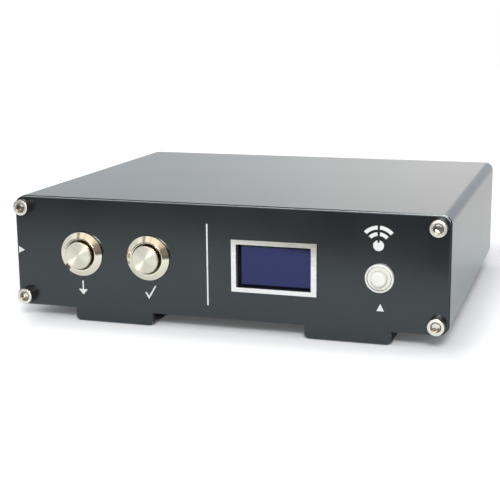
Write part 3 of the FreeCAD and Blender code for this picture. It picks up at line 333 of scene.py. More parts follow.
case_finish = new_finish("black_anodised_case", ANODISED_BLACK, 0.2, IOR=1.66,
                         Specular_Tint=(0.87, 0.98, 1.0, 1.0), Coat_Weight=0.55,
                         Coat_Roughness=0.2)
blasted = noise_on(case_finish, 4.0)
drawn = noise_on(case_finish, 2.5, stretch=(1, 60, 1))
cloudy = noise_on(case_finish, 0.03, detail=2.0)
join_shader(case_finish,
            Base_Color=blend_colours(case_finish, cloudy, ANODISED_BLACK, ANODISED_GREY),
            Roughness=spread(case_finish, cloudy, 0.19, 0.21),
            Normal=relief(case_finish, reckon(case_finish, "ADD", blasted, drawn), 0.002, 0.3))
housing = merged_copy("housing", "housing_sleeve")
settle(housing, "case", "case_anodised", case_finish, "housing")

# ------------------------------------------------------------------------------------ end plates
# Two flat plates of 2 mm aluminium, a little smaller than the sleeve, blasted fine and anodised
# black, with cut edges where the black is thin along the top and bottom. The side edges get a
# dull dark finish, as painted shade. Screws hold them to the sleeve's ends.


def paint_faces(piece, finish, test):
    """Gives a further finish to the faces whose middle and direction pass a test."""
    piece.data.materials.append(finish)
    for face in piece.data.polygons:
        if test(face.center, face.normal):
            face.material_index = len(piece.data.materials) - 1


plate_finish = new_finish("black_anodised_plate", ANODISED_BLACK, 0.2, IOR=1.75,
                          Specular_Tint=(0.85, 0.94, 1.0, 1.0))
fine = noise_on(plate_finish, 6.0)
cloudy = noise_on(plate_finish, 0.04, detail=2.0)
join_shader(plate_finish,
            Base_Color=blend_colours(plate_finish, cloudy, ANODISED_BLACK, ANODISED_GREY),
            Roughness=spread(plate_finish, cloudy, 0.19, 0.24),
            Normal=relief(plate_finish, fine, 0.0025, 0.4))
cut_edge = new_finish("thin_anodised_edge", (0.82, 0.84, 0.85), 0.2, metallic=1.0)
sawn = noise_on(cut_edge, 2.0, stretch=(12, 1, 12))
join_shader(cut_edge, Roughness=spread(cut_edge, sawn, 0.16, 0.26),
            Base_Color=blend_colours(cut_edge, sawn, (0.86, 0.88, 0.89), (0.76, 0.78, 0.79)),
            Normal=relief(cut_edge, sawn, 0.003, 0.4))
# Side edges: a dull dark finish with little gloss, painted shade where the cut edge faces sideways.
side_edge_shade_paint = new_finish("plate_side_edge_painted_shade", (0.05, 0.053, 0.056), 0.7, IOR=1.15)
join_shader(side_edge_shade_paint, Roughness=spread(side_edge_shade_paint, noise_on(side_edge_shade_paint, 2.0), 0.6, 0.8),
            Normal=relief(side_edge_shade_paint, noise_on(side_edge_shade_paint, 6.0), 0.003, 0.4))
CASE_HALF_WIDTH, SLEEVE_FLOOR, SLEEVE_HEIGHT = 74.0, 4.3, 38.0
PLATE_INSET, PLATE_CORNER, TABS_TOP = 0.2, 3.2, 4.6
# How far along Y a side's direction may go, and how far up that of an edge that shines; steeper
# edges get painted shade.
SIDE_LEAN, LEVEL_LEAN = 0.3, 0.35


def on_plate_edge(middle, normal):
    """True on the flat strips that run round a plate, between its two faces."""
    inner_side = CASE_HALF_WIDTH - PLATE_INSET - PLATE_CORNER
    inner_top = SLEEVE_FLOOR + SLEEVE_HEIGHT - PLATE_INSET - PLATE_CORNER
    outside = abs(middle.x / MM) > inner_side or not TABS_TOP < middle.z / MM < inner_top
    return outside and abs(normal.y) < SIDE_LEAN


for plate_node in ("front_plate", "rear_plate"):
    plate = merged_copy(plate_node, f"{plate_node}_panel")
    settle(plate, "case", "plate_anodised", plate_finish, plate_node)
    paint_faces(plate, cut_edge, lambda middle, normal: (
        on_plate_edge(middle, normal) and abs(normal.z) > LEVEL_LEAN))
    paint_faces(plate, side_edge_shade_paint, lambda middle, normal: (
        on_plate_edge(middle, normal) and abs(normal.z) < LEVEL_LEAN))

# ------------------------------------------------------------------------------------ printing
# White screen-printed symbols on the front plate: an arrow below the first button, a tick below
# the second, a bar before the display, radio waves above the lamp, and two small triangles.

INK_HEIGHT = 0.03
front_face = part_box("front_plate")[0].y / MM
plate_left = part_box("front_plate")[0].x / MM

ink = new_finish("white_ink", (0.80, 0.83, 0.82), 0.5)
ink_grain = noise_on(ink, 8.0)
join_shader(ink, Base_Color=blend_colours(ink, spread(ink, ink_grain, 0, 1),
                                          (0.69, 0.75, 0.72), (0.79, 0.84, 0.81)),
            Normal=relief(ink, ink_grain, 0.004, 0.4))


def print_shapes(name, shapes):
    """Flat inked shapes on the plate. A shape is a ring of places in mm, counted across from
    the plate's left edge and up from the sleeve's floor."""
    bm = bmesh.new()
    for ring in shapes:
        corners = [bm.verts.new((x + plate_left, front_face, z + SLEEVE_FLOOR)) for x, z in ring]
        bm.faces.new(corners)
    bm.normal_update()
    bmesh.ops.triangulate(bm, faces=bm.faces)
    raised = bmesh.ops.extrude_face_region(bm, geom=bm.faces[:])
    lifted = [v for v in raised["geom"] if isinstance(v, bmesh.types.BMVert)]
    bmesh.ops.translate(bm, verts=lifted, vec=(0, -INK_HEIGHT, 0))
    bmesh.ops.recalc_face_normals(bm, faces=bm.faces)
    bmesh.ops.scale(bm, verts=bm.verts, vec=(MM, MM, MM))
    settle(link_piece(bm, name), "case", "plate_anodised", ink)


def arc_line(centre, radius, start, stop, steps=14):
    """Places along an arc. Angles in degrees, counted from the right."""
    angles = [math.radians(start + (stop - start) * i / steps) for i in range(steps + 1)]
    return [(centre[0] + radius * math.cos(a), centre[1] + radius * math.sin(a)) for a in angles]


def arc_band(centre, inner, outer, start, stop):
    """A curved band, as a ring of places."""
    return arc_line(centre, inner, start, stop) + arc_line(centre, outer, stop, start)


print_shapes("print_arrow", [[(24.12, 9.83), (24.12, 6.9), (22.7, 6.9), (24.37, 5.0),
                              (26.04, 6.9), (24.62, 6.9), (24.62, 9.83)]])
print_shapes("print_tick", [[(47.15, 7.3), (47.55, 7.6), (48.45, 6.2), (50.75, 9.95),
                             (51.1, 9.65), (48.45, 5.1)]])
print_shapes("print_bar", [[(69.0, 4.52), (69.5, 4.52), (69.5, 31.67), (69.0, 31.67)]])
print_shapes("print_left_mark", [[(0.6, 18.1), (2.78, 19.3), (0.6, 20.5)]])
print_shapes("print_lower_mark", [[(125.2, 6.75), (127.6, 6.75), (126.4, 9.1)]])
WAVE_CENTRE, DOT_RADIUS, SLIT, SLIT_FOOT = (125.55, 27.65), 1.7, 0.33, 0.9
WAVES_RIGHT, WAVES_LEFT = 43, 137
slit_angle = math.degrees(math.asin(SLIT / DOT_RADIUS))
dot = arc_line(WAVE_CENTRE, DOT_RADIUS, 90 + slit_angle, 450 - slit_angle, 30)
slit_foot = [(WAVE_CENTRE[0] + side * SLIT, WAVE_CENTRE[1] + SLIT_FOOT) for side in (1, -1)]
waves = [dot + slit_foot]
for inner, outer in ((3.1, 4.25), (5.1, 6.3)):
    half_gap = math.degrees(SLIT / inner)
    waves += [arc_band(WAVE_CENTRE, inner, outer, WAVES_RIGHT, 90 - half_gap),
              arc_band(WAVE_CENTRE, inner, outer, 90 + half_gap, WAVES_LEFT)]
print_shapes("print_waves", waves)

# ------------------------------------------------------------------------------------ plate screws
# M3 socket cap screws of nickel-plated steel, four at each end of the case, with heads that
# stand proud of the plates and threads cut in the sleeve's corner ports.

SCREW_SIDES = 48
HEAD_RADIUS, HEAD_HEIGHT, HEAD_EDGE = 2.75, 3.0, 0.3
SINK_RADIUS, SINK_DEPTH, HEXAGON, RECESS_DEPTH, POINT_DEPTH = 1.7, 0.12, 2.5, 1.5, 0.5
SHANK, THREAD_CORE, THREAD_PITCH, SHANK_LENGTH = 1.5, 1.25, 0.5, 8.0


def turned(profile, steps=64, closed=True):
    """Turns pairs of radius and depth, in mm, about the Y axis."""
    bm = bmesh.new()
    verts = [bm.verts.new((radius, depth, 0)) for radius, depth in profile]
    ring = verts + [verts[0]] if closed else verts
    edges = [bm.edges.new(pair) for pair in zip(ring, ring[1:])]
    bmesh.ops.spin(bm, geom=verts + edges, axis=(0, 1, 0), cent=(0, 0, 0), steps=steps,
                   angle=math.tau, use_merge=True)
    bmesh.ops.remove_doubles(bm, verts=bm.verts, dist=1e-4)
    bmesh.ops.recalc_face_normals(bm, faces=bm.faces)
    return bm


def put_copies(single, name, places):
    """One object of a mesh in mm set down at each place, a point in mm and a half turn or not."""
    pattern = bpy.data.meshes.new(f"{name}_pattern")
    single.to_mesh(pattern)
    single.free()
    bm = bmesh.new()
    for point, turned_round in places:
        first = len(bm.verts)
        bm.from_mesh(pattern)
        bm.verts.ensure_lookup_table()
        turn = Matrix.Rotation(math.pi if turned_round else 0.0, 4, "Z")
        bmesh.ops.transform(bm, verts=bm.verts[first:],
                            matrix=Matrix.Scale(MM, 4) @ Matrix.Translation(point) @ turn)
    bpy.data.meshes.remove(pattern)
    piece = link_piece(bm, name)
    smooth_by_angle(piece, 32)
    return piece


def cap_screw():
    """An M3 screw along Y with the underside of its head at the origin."""
    threads = []
    for turn in range(int(SHANK_LENGTH / THREAD_PITCH)):
        threads += [(SHANK, turn * THREAD_PITCH), (THREAD_CORE, (turn + 0.5) * THREAD_PITCH)]
    head = [(SINK_RADIUS, SINK_DEPTH - HEAD_HEIGHT), (SINK_RADIUS + 0.1, -HEAD_HEIGHT),
            (HEAD_RADIUS - HEAD_EDGE, -HEAD_HEIGHT),
            (HEAD_RADIUS - HEAD_EDGE / 2.5, HEAD_EDGE / 4 - HEAD_HEIGHT),
            (HEAD_RADIUS, HEAD_EDGE - HEAD_HEIGHT), (HEAD_RADIUS, -0.1), (HEAD_RADIUS - 0.1, 0)]
    bm = turned(head + threads + [(THREAD_CORE, SHANK_LENGTH), (0, SHANK_LENGTH)], SCREW_SIDES,
                closed=False)
    rim = [e for e in bm.edges if not e.is_manifold and e.verts[0].co.y < 0]
    hexagon = bmesh.ops.create_circle(bm, segments=6, radius=HEXAGON / math.sqrt(3))["verts"]
    bmesh.ops.rotate(bm, verts=hexagon, cent=(0, 0, 0), matrix=Matrix.Rotation(math.pi / 2, 3, "X"))
    bmesh.ops.translate(bm, verts=hexagon, vec=(0, SINK_DEPTH + 0.1 - HEAD_HEIGHT, 0))
    sides = [e for e in bm.edges if e.verts[0] in hexagon and e.verts[1] in hexagon]
    bmesh.ops.subdivide_edges(bm, edges=sides, cuts=SCREW_SIDES // 6 - 1)
    mouth = [e for e in bm.edges if not e.link_faces]
    bmesh.ops.bridge_loops(bm, edges=rim + mouth)
    walls = bmesh.ops.extrude_edge_only(bm, edges=mouth)["geom"]
    foot = [v for v in walls if isinstance(v, bmesh.types.BMVert)]
    bmesh.ops.translate(bm, verts=foot, vec=(0, RECESS_DEPTH, 0))
    foot_edges = [e for e in walls if isinstance(e, bmesh.types.BMEdge)]
    drilled = bmesh.ops.extrude_edge_only(bm, edges=foot_edges)["geom"]
    tip = [v for v in drilled if isinstance(v, bmesh.types.BMVert)]
    bmesh.ops.pointmerge(bm, verts=tip, merge_co=(0, RECESS_DEPTH + POINT_DEPTH - HEAD_HEIGHT, 0))
    bmesh.ops.recalc_face_normals(bm, faces=bm.faces)
    return bm


bright_steel = new_finish("bright_nickel_screw", (0.93, 0.90, 0.82), 0.36, metallic=0.95)
rubbed = noise_on(bright_steel, 1.6)
join_shader(bright_steel, Roughness=spread(bright_steel, rubbed, 0.30, 0.42),
            Base_Color=blend_colours(bright_steel, rubbed, (0.97, 0.93, 0.85), (0.90, 0.86, 0.78)),
            Normal=relief(bright_steel, noise_on(bright_steel, 5.0), 0.004, 0.5))
# The recesses' walls and floors: dark brown metal, painted shade in the hollows.
recess_shade_paint = new_finish("screw_recess_painted_shade", (0.29, 0.25, 0.19), 0.34, metallic=1.0)
join_shader(recess_shade_paint, Roughness=spread(recess_shade_paint, noise_on(recess_shade_paint, 2.0), 0.24, 0.4),
            Normal=relief(recess_shade_paint, noise_on(recess_shade_paint, 6.0), 0.004, 0.4))
drilled_steel = new_finish("drilled_nickel", (0.93, 0.90, 0.83), 0.12, metallic=1.0)
join_shader(drilled_steel, Normal=relief(drilled_steel, noise_on(drilled_steel, 3.0), 0.01, 0.5),
            Roughness=spread(drilled_steel, noise_on(drilled_steel, 2.0), 0.08, 0.16))
# The heads' sides: a knurl in the bump, and a near-black colour that is painted shade.
knurl_and_shade_paint = new_finish("knurled_head_side_painted_shade", (0.12, 0.115, 0.10), 0.28, metallic=0.8)
ridges = noise_on(knurl_and_shade_paint, 2.5, stretch=(1, 8, 1))
join_shader(knurl_and_shade_paint, Roughness=spread(knurl_and_shade_paint, ridges, 0.24, 0.36),
            Normal=relief(knurl_and_shade_paint, ridges, 0.02, 0.5))
# Heights above a head's underside where its side, its drilled point and its recess's walls begin
# and where its face lies, and how far along Y the point's faces look.
SIDE_LOW, POINT_LOW, WALLS_LOW, FACE_LOW, POINT_LEAN = 0.05, 0.95, 1.25, 2.95, 0.5


def screw_set(name, slot, node, places):
    """Screws at their places, with a knurl round each head's side painted dark as shade, and
    painted shade in their hexagon recesses.
    """
    piece = put_copies(cap_screw(), name, places)
    settle(piece, "case", slot, bright_steel, node)
    heads = [Vector(point) * MM for point, _ in places]

    def on_head(middle, inner, outer, nearest, farthest):
        """True on a head, between two radii and two heights above its underside."""
        return any(
            inner * MM < math.hypot(middle.x - head.x, middle.z - head.z) < outer * MM
            and nearest * MM < abs(middle.y - head.y) < farthest * MM and head.y * middle.y > 0
            and abs(middle.y) > abs(head.y) for head in heads)

    recess = SINK_RADIUS - 0.01
    side = HEAD_RADIUS - 0.09
    # Painted shade in the recesses and on the heads' sides; the drilled points stay bright.
    paint_faces(piece, recess_shade_paint, lambda middle, normal: (
        on_head(middle, 0, recess, WALLS_LOW, FACE_LOW)))
    paint_faces(piece, drilled_steel, lambda middle, normal: (
        on_head(middle, 0, recess, POINT_LOW, WALLS_LOW) and abs(normal.y) > POINT_LEAN))
    paint_faces(piece, knurl_and_shade_paint, lambda middle, normal: (
        on_head(middle, side, HEAD_RADIUS, SIDE_LOW, FACE_LOW)))


PORT_INSET = 3.6
rear_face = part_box("rear_plate")[1].y / MM
corner_x = CASE_HALF_WIDTH - PORT_INSET
corner_levels = (SLEEVE_FLOOR + PORT_INSET, SLEEVE_FLOOR + SLEEVE_HEIGHT - PORT_INSET)
for ends, depth, turned_round in (("front", front_face, False), ("rear", rear_face, True)):
    screw_set(f"{ends}_screws", "bright_screw", f"{ends}_plate_screws",
              [((x, depth, z), turned_round) for x in (-corner_x, corner_x)
               for z in corner_levels])

# ------------------------------------------------------------------------------------ push buttons
# Metal push buttons for a 12 mm hole. A coned bezel in one piece with the threaded barrel, a
# rubber ring under it, and a flat cap turned on the lathe that slides in the bezel's mouth.

nickel = new_finish("button_nickel", (0.86, 0.84, 0.76), 0.12, metallic=1.0)
rubbed = noise_on(nickel, 1.2)
join_shader(nickel, Roughness=spread(nickel, rubbed, 0.09, 0.16),
            Base_Color=blend_colours(nickel, rubbed, (1.0, 0.91, 0.77), (0.94, 0.85, 0.71)),
            Normal=relief(nickel, noise_on(nickel, 6.0), 0.002, 0.35))
RINGS_PER_MM = 9.0


def lathe_finish(name, centre):
    """Nickel with fine rings about a centre line along Y, from facing on a lathe."""
    finish = new_finish(name, (0.97, 0.91, 0.80), 0.34, metallic=0.9, Anisotropic=0.85)
    where = add_node(finish, "TexCoord")
    moved = add_node(finish, "Mapping", {"Vector": where.outputs["Object"],
                                         "Location": [-c * MM for c in centre]})
    aside, _, up = add_node(finish, "SeparateXYZ", {0: moved.outputs[0]}).outputs
    spoke = add_node(finish, "CombineXYZ", {"X": aside, "Z": up}).outputs[0]
    radius = add_node(finish, "VectorMath", {0: spoke}, operation="LENGTH").outputs["Value"]
    outwards = add_node(finish, "VectorMath", {0: spoke}, operation="NORMALIZE").outputs[0]
    rings = add_node(finish, "TexNoise", {"W": radius, "Scale": RINGS_PER_MM / MM, "Detail": 2.0},
                     noise_dimensions="1D").outputs["Fac"]
    join_shader(finish, Tangent=outwards,
                Roughness=spread(finish, noise_on(finish, 0.35), 0.31, 0.37),
                Base_Color=blend_colours(finish, rings, (1.0, 0.94, 0.81), (0.96, 0.90, 0.77)),
                Normal=relief(finish, rings, 0.002, 0.3))
    return finish


rubber = new_finish("black_rubber", (0.02, 0.02, 0.021), 0.62)
join_shader(rubber, Normal=relief(rubber, noise_on(rubber, 5.0), 0.02, 0.5),
            Roughness=spread(rubber, noise_on(rubber, 1.0), 0.55, 0.7))


def ground_thread(radius, core, start, stop, pitch):
    """Profile of a thread from start to stop, as pairs of radius and depth."""
    turns = int(abs(stop - start) / pitch)
    step = (stop - start) / turns
    pairs = []
    for turn in range(turns):
        pairs += [(radius, start + turn * step), (core, start + (turn + 0.5) * step)]
    return pairs + [(radius, stop)]


# The mouth's wall and floor: dark brown metal, painted shade in the gap round the cap.
bore_shade_paint = new_finish("bore_wall_painted_shade", (0.17, 0.135, 0.08), 0.3, metallic=1.0)
join_shader(bore_shade_paint, Roughness=spread(bore_shade_paint, noise_on(bore_shade_paint, 2.0), 0.24, 0.36),
            Normal=relief(bore_shade_paint, noise_on(bore_shade_paint, 6.0), 0.004, 0.4))
# The cap's side wall: darker bronze metal, painted shade where the wall sits in the bore.
cap_wall_shade_paint = new_finish("cap_side_wall_painted_shade", (0.60, 0.52, 0.37), 0.16, metallic=1.0)
join_shader(cap_wall_shade_paint, Roughness=spread(cap_wall_shade_paint, noise_on(cap_wall_shade_paint, 1.0), 0.12, 0.22),
            Normal=relief(cap_wall_shade_paint, noise_on(cap_wall_shade_paint, 3.0, stretch=(6, 1, 6)), 0.006, 0.5))
spring_wire = new_finish("spring_wire", (0.60, 0.58, 0.55), 0.28, metallic=1.0)
drawn_lines = noise_on(spring_wire, 1.5)
join_shader(spring_wire, Roughness=spread(spring_wire, drawn_lines, 0.24, 0.34),
            Base_Color=blend_colours(spring_wire, drawn_lines,
                                     (0.60, 0.58, 0.55), (0.48, 0.47, 0.44)),
            Normal=relief(spring_wire, noise_on(spring_wire, 4.5), 0.006, 0.4))
COIL_RADIUS, WIRE_RADIUS, SPRING_FRONT, SPRING_BACK = 4.4, 0.3, 2.53, 9.57
PRESS_TRAVEL, SEAT_ROOM, SPRING_TURNS, TURN_STEPS = 1.6, 2.2 * WIRE_RADIUS, 3.5, 32


def wire_circle(depth):
    """The round section of the spring's wire, beside the Y axis."""
    bm = bmesh.new()
    section = bmesh.ops.create_circle(bm, segments=10, radius=WIRE_RADIUS)["verts"]
    bmesh.ops.translate(bm, verts=section, vec=(COIL_RADIUS, depth, 0))
    return bm


def seat_turn():
    """The closed turn at the spring's front, which moves with the cap."""
    bm = wire_circle(SPRING_FRONT)
    bmesh.ops.spin(bm, geom=bm.verts[:] + bm.edges[:], axis=(0, 1, 0), cent=(0, 0, 0),
                   steps=TURN_STEPS, angle=math.tau, use_merge=True)
    bmesh.ops.remove_doubles(bm, verts=bm.verts, dist=1e-4)
    bmesh.ops.recalc_face_normals(bm, faces=bm.faces)
    return bm


def open_turns():
    """The spring's other turns, with room in front of them for the cap's travel."""
    start = SPRING_FRONT + PRESS_TRAVEL + SEAT_ROOM
    bm = wire_circle(start)
    steps = round(SPRING_TURNS * TURN_STEPS)
    bmesh.ops.spin(bm, geom=bm.verts[:] + bm.edges[:], axis=(0, 1, 0), cent=(0, 0, 0),
                   steps=steps, angle=math.tau * SPRING_TURNS,
                   dvec=(0, (SPRING_BACK - start) / steps, 0))
    bmesh.ops.holes_fill(bm, edges=[e for e in bm.edges if len(e.link_faces) == 1])
    bmesh.ops.recalc_face_normals(bm, faces=bm.faces)
    return bm


BUTTON_LEVEL = 19.2 + SLEEVE_FLOOR
BORE_RADIUS, BEZEL_FACE, BORE_FLOOR, CAP_LIP = 5.25, -1.8, 0.5, 0.6
for button, across in (("step_button", -49.2), ("confirm_button", -25.1)):
    centre = (across, front_face, BUTTON_LEVEL)
    barrel = turned([
        (5.3, 0.6), (4.85, 0.6), (4.85, -0.6), (5.2, -0.6), (5.2, -1.7), (5.2, -1.9),
        (5.28, -1.98), (5.6, -2.0), (5.72, -1.95), (7.38, -0.97), (7.48, -0.88), (7.5, -0.76),
        (7.5, -0.08), (7.42, 0.0),
        (6.9, 0.0), (6.9, -0.7), (6.0, -0.7), *ground_thread(6.0, 5.75, 2.0, 14.6, 0.75),
        (5.8, 15.0), (5.3, 15.0)], 96)
    bezel = put_copies(barrel, f"{button}_bezel", [(centre, False)])
    settle(bezel, "case", "nickel_steel", nickel, f"{button}_barrel")

    def in_bore(middle, normal):
        """True on the mouth's wall and floor, behind its bright edge, where shade is painted."""
        off_axis = math.hypot(middle.x / MM - centre[0], middle.z / MM - centre[2])
        return off_axis < BORE_RADIUS and BEZEL_FACE < middle.y / MM - front_face < BORE_FLOOR

    paint_faces(bezel, bore_shade_paint, in_bore)
    ring = turned([(6.05, -0.62), (6.1, -0.65), (6.75, -0.65), (6.8, -0.62), (6.8, 0.0),
                   (6.05, 0.0)], 64)
    gasket = put_copies(ring, f"{button}_seal", [(centre, False)])
    settle(gasket, "case", "black_rubber", rubber, f"{button}_gasket")
    plunger = turned([
        (0, -3.9), (4.28, -3.9), (4.6, -3.6), (4.65, -3.5), (4.65, 0.6), (5.2, 0.6), (5.2, 2.2),
        (1.8, 2.2), (1.8, 7.5), (1.0, 7.5), (1.0, 8.4), (0, 8.4)], 96, closed=False)
    cap = put_copies(plunger, f"{button}_plunger", [(centre, False)])
    settle(cap, button, "nickel_steel", lathe_finish(f"{button}_faced_nickel", centre),
           f"{button}_cap")
    # Painted shade on the cap's side wall.
    paint_faces(cap, cap_wall_shade_paint, lambda middle, normal: (
        abs(normal.y) < SIDE_LEAN and middle.y / MM - front_face < CAP_LIP))
    seat = put_copies(seat_turn(), f"{button}_spring_seat", [(centre, False)])
    settle(seat, button, "spring_steel", spring_wire)
    coil = put_copies(open_turns(), f"{button}_spring_coil", [(centre, False)])
    settle(coil, "case", "spring_steel", spring_wire, f"{button}_spring")

# ------------------------------------------------------------------------------------ display
# A flat bright frame stuck round the plate's window, and behind the plate the dark blue glass of
# a small display.

silver = new_finish("display_frame_silver", (0.95, 0.94, 0.92), 0.14, metallic=0.85)
scuffed = noise_on(silver, 1.1, stretch=(4, 1, 1))
join_shader(silver, Roughness=spread(silver, scuffed, 0.10, 0.18),
            Base_Color=blend_colours(silver, scuffed, (0.98, 0.965, 0.95), (0.92, 0.90, 0.88)),
            Normal=relief(silver, noise_on(silver, 2.0), 0.006, 0.4))


def soften_edges(piece, width_mm):
    """Rounds a piece's sharp edges."""
    bevel = piece.modifiers.new("edge", "BEVEL")
    bevel.width = width_mm * MM
    bevel.segments = 2
    bevel.limit_method = "ANGLE"
    bevel.angle_limit = math.radians(40)
    bevel.harden_normals = True
    bevel.use_clamp_overlap = True


def flat_ring(outer, inner, front, back):
    """A four-sided ring. Outer and inner are its left, right, bottom and top, in mm."""
    bm = bmesh.new()
    rings = []
    for left, right, bottom, top in (outer, inner):
        for depth in (front, back):
            rings.append([bm.verts.new((x, depth, z)) for x, z in (
                (left, bottom), (right, bottom), (right, top), (left, top))])
    outer_front, outer_back, inner_front, inner_back = rings
    for first, second in ((outer_front, inner_front), (outer_front, outer_back),
                          (inner_front, inner_back), (outer_back, inner_back)):
        for i in range(4):
            j = (i + 1) % 4
            bm.faces.new((first[i], first[j], second[j], second[i]))
    bmesh.ops.recalc_face_normals(bm, faces=bm.faces)
    return bm


DISPLAY_MIDDLE, DISPLAY_LEVEL = 18.1, SLEEVE_FLOOR + 18.5
WINDOW_HALF_WIDTH, WINDOW_HALF_HEIGHT = 12.25, 7.1
LEFT_BAR_TRIM, RIGHT_BAR_TRIM = 0.4, 0.2
frame_low, frame_high = (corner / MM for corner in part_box("display_frame"))
ring = flat_ring((frame_low.x, frame_high.x - RIGHT_BAR_TRIM, frame_low.z, frame_high.z),
                 (DISPLAY_MIDDLE - WINDOW_HALF_WIDTH - LEFT_BAR_TRIM,
                  DISPLAY_MIDDLE + WINDOW_HALF_WIDTH, DISPLAY_LEVEL - WINDOW_HALF_HEIGHT,
                  DISPLAY_LEVEL + WINDOW_HALF_HEIGHT), frame_low.y, frame_high.y)
rim = put_copies(ring, "display_bezel", [((0, 0, 0), False)])
soften_edges(rim, 0.06)
settle(rim, "case", "silver_frame", silver, "display_frame")

DOTS_LEFT, DOTS_RIGHT, DOTS_LOW, DOTS_HIGH, DOTS_EDGE = (
    side * MM for side in (6.4, 30.2, 16.0, 28.8, 0.05))
cell_glass = new_finish("display_blue_glass", (0.002, 0.005, 0.02), 0.07, IOR=2.1)
where = add_node(cell_glass, "SeparateXYZ", {0: add_node(cell_glass, "TexCoord").outputs["Object"]})
dotted = reckon(cell_glass, "MULTIPLY",
                within(cell_glass, where.outputs["X"], DOTS_LEFT, DOTS_RIGHT, DOTS_EDGE),
                within(cell_glass, where.outputs["Z"], DOTS_LOW, DOTS_HIGH, DOTS_EDGE))
blue = blend_colours(cell_glass, noise_on(cell_glass, 0.06, detail=1.0),
                     (0.001, 0.004, 0.022), (0.004, 0.005, 0.016))
join_shader(cell_glass, Base_Color=blend_colours(cell_glass, dotted, (0.002, 0.002, 0.0025), blue),
            Specular_Tint=blend_colours(cell_glass, dotted, (0.22, 0.25, 0.31), (0.34, 0.37, 0.97)),
            Roughness=spread(cell_glass, noise_on(cell_glass, 0.3), 0.05, 0.09))
pane = merged_copy("display_glass", "display_pane")
settle(pane, "case", "display_glass", cell_glass, "display_glass")

# ------------------------------------------------------------------------------------ signal lamp
# A 5 mm lamp with a frosted dome in a white collar, held by a bright metal rim whose threaded
# tube goes through the plate.

LAMP_CENTRE = (52.3, front_face, 17.4 + SLEEVE_FLOOR)
RECESS_RADIUS, RIM_FACE, LEG_SIDE, LEG_LENGTH, LEG_SPREAD, LEG_MIDDLE = (
    3.95, -1.15, 0.5, 4.3, 1.27, 8.05)
tube = turned([
    (3.3, 9.0), (3.3, -0.2), (3.9, -0.2), (3.9, -1.12), (3.98, -1.2), (4.28, -1.2), (4.46, -1.12),
    (4.56, -1.0), (4.6, -0.85), (4.6, 0.0), (4.0, 0.0), *ground_thread(4.0, 3.8, 2.0, 8.6, 0.75),
    (3.9, 9.0)], 72)
satin_rim = new_finish("satin_lamp_rim", (0.96, 0.96, 0.94), 0.42, metallic=0.6)
join_shader(satin_rim, Roughness=spread(satin_rim, noise_on(satin_rim, 1.5), 0.36, 0.48),
            Normal=relief(satin_rim, noise_on(satin_rim, 5.0), 0.004, 0.4))
lamp_rim = put_copies(tube, "lamp_rim", [(LAMP_CENTRE, False)])
settle(lamp_rim, "case", "nickel_steel", satin_rim, "lamp_bezel")


def in_lamp_recess(middle, normal):
    """True on the recess's wall and floor, behind the rim's bright edge."""
    off_axis = math.hypot(middle.x / MM - LAMP_CENTRE[0], middle.z / MM - LAMP_CENTRE[2])
    return off_axis < RECESS_RADIUS and RIM_FACE < middle.y / MM - front_face < 0.0


shaded = new_finish("shaded_lamp_recess", (0.42, 0.40, 0.36), 0.4, metallic=1.0)
join_shader(shaded, Roughness=spread(shaded, noise_on(shaded, 2.0), 0.34, 0.46),
            Normal=relief(shaded, noise_on(shaded, 6.0), 0.004, 0.4))
paint_faces(lamp_rim, shaded, in_lamp_recess)

milky = new_finish("white_collar_plastic", (0.80, 0.80, 0.71), 0.4, Subsurface_Weight=0.35,
                   Subsurface_Radius=(0.8 * MM,) * 3)
milky_spots = noise_on(milky, 1.5)
join_shader(milky, Roughness=spread(milky, milky_spots, 0.3, 0.42),
            Base_Color=blend_colours(milky, milky_spots, (0.86, 0.86, 0.78), (0.81, 0.81, 0.73)),
            Normal=relief(milky, noise_on(milky, 5.0), 0.004, 0.4))
sleeve = turned([
    (2.55, -0.8), (2.75, -0.88), (3.45, -1.06), (3.65, -1.08), (3.74, -1.0), (3.76, -0.2),
    (3.25, -0.2), (3.25, 5.2), (2.55, 5.2)], 72)
collar = put_copies(sleeve, "lamp_sleeve", [(LAMP_CENTRE, False)])
settle(collar, "case", "white_plastic", milky, "lamp_collar")

frosted = new_finish("frosted_lamp_epoxy", (0.84, 0.85, 0.79), 0.35, Subsurface_Weight=0.5,
                     Subsurface_Radius=(1.5 * MM,) * 3)
haze = noise_on(frosted, 0.8)
join_shader(frosted, Roughness=spread(frosted, haze, 0.3, 0.42),
            Base_Color=blend_colours(frosted, haze, (0.85, 0.865, 0.80), (0.81, 0.825, 0.76)),
            Normal=relief(frosted, noise_on(frosted, 3.0), 0.006, 0.4))
dome = turned([
    (0, -2.85), (1.2, -2.82), (1.9, -2.74), (2.3, -2.58), (2.46, -2.38), (2.52, -2.1),
    (2.52, 5.2), (2.9, 5.2), (2.9, 6.2), (0, 6.2)], 64, closed=False)
for side in (-1, 1):
    leg = bmesh.ops.create_cube(dome, size=1.0)["verts"]
    bmesh.ops.scale(dome, verts=leg, vec=(LEG_SIDE, LEG_LENGTH, LEG_SIDE))
    bmesh.ops.translate(dome, verts=leg, vec=(side * LEG_SPREAD, LEG_MIDDLE, 0))
lens = put_copies(dome, "lamp_dome", [(LAMP_CENTRE, False)])
settle(lens, "case", "frosted_lamp", frosted, "lamp")
# The dome's side wall: a darker cream than its top, painted shade on the side.
dome_side_shade_paint = new_finish("lamp_dome_side_painted_shade", (0.80, 0.79, 0.71), 0.45)
join_shader(dome_side_shade_paint, Roughness=spread(dome_side_shade_paint, noise_on(dome_side_shade_paint, 1.0), 0.4, 0.5),
            Normal=relief(dome_side_shade_paint, noise_on(dome_side_shade_paint, 4.0), 0.006, 0.4))
DOME_LEAN = 0.5
paint_faces(lens, dome_side_shade_paint, lambda middle, normal: abs(normal.y) < DOME_LEAN)

# ------------------------------------------------------------------------------------ sockets
# Four coaxial sockets for screw-on plugs: a nickel-plated brass flange and threaded barrel, a
# white insulator and a gilded centre contact, with four screws in each flange.

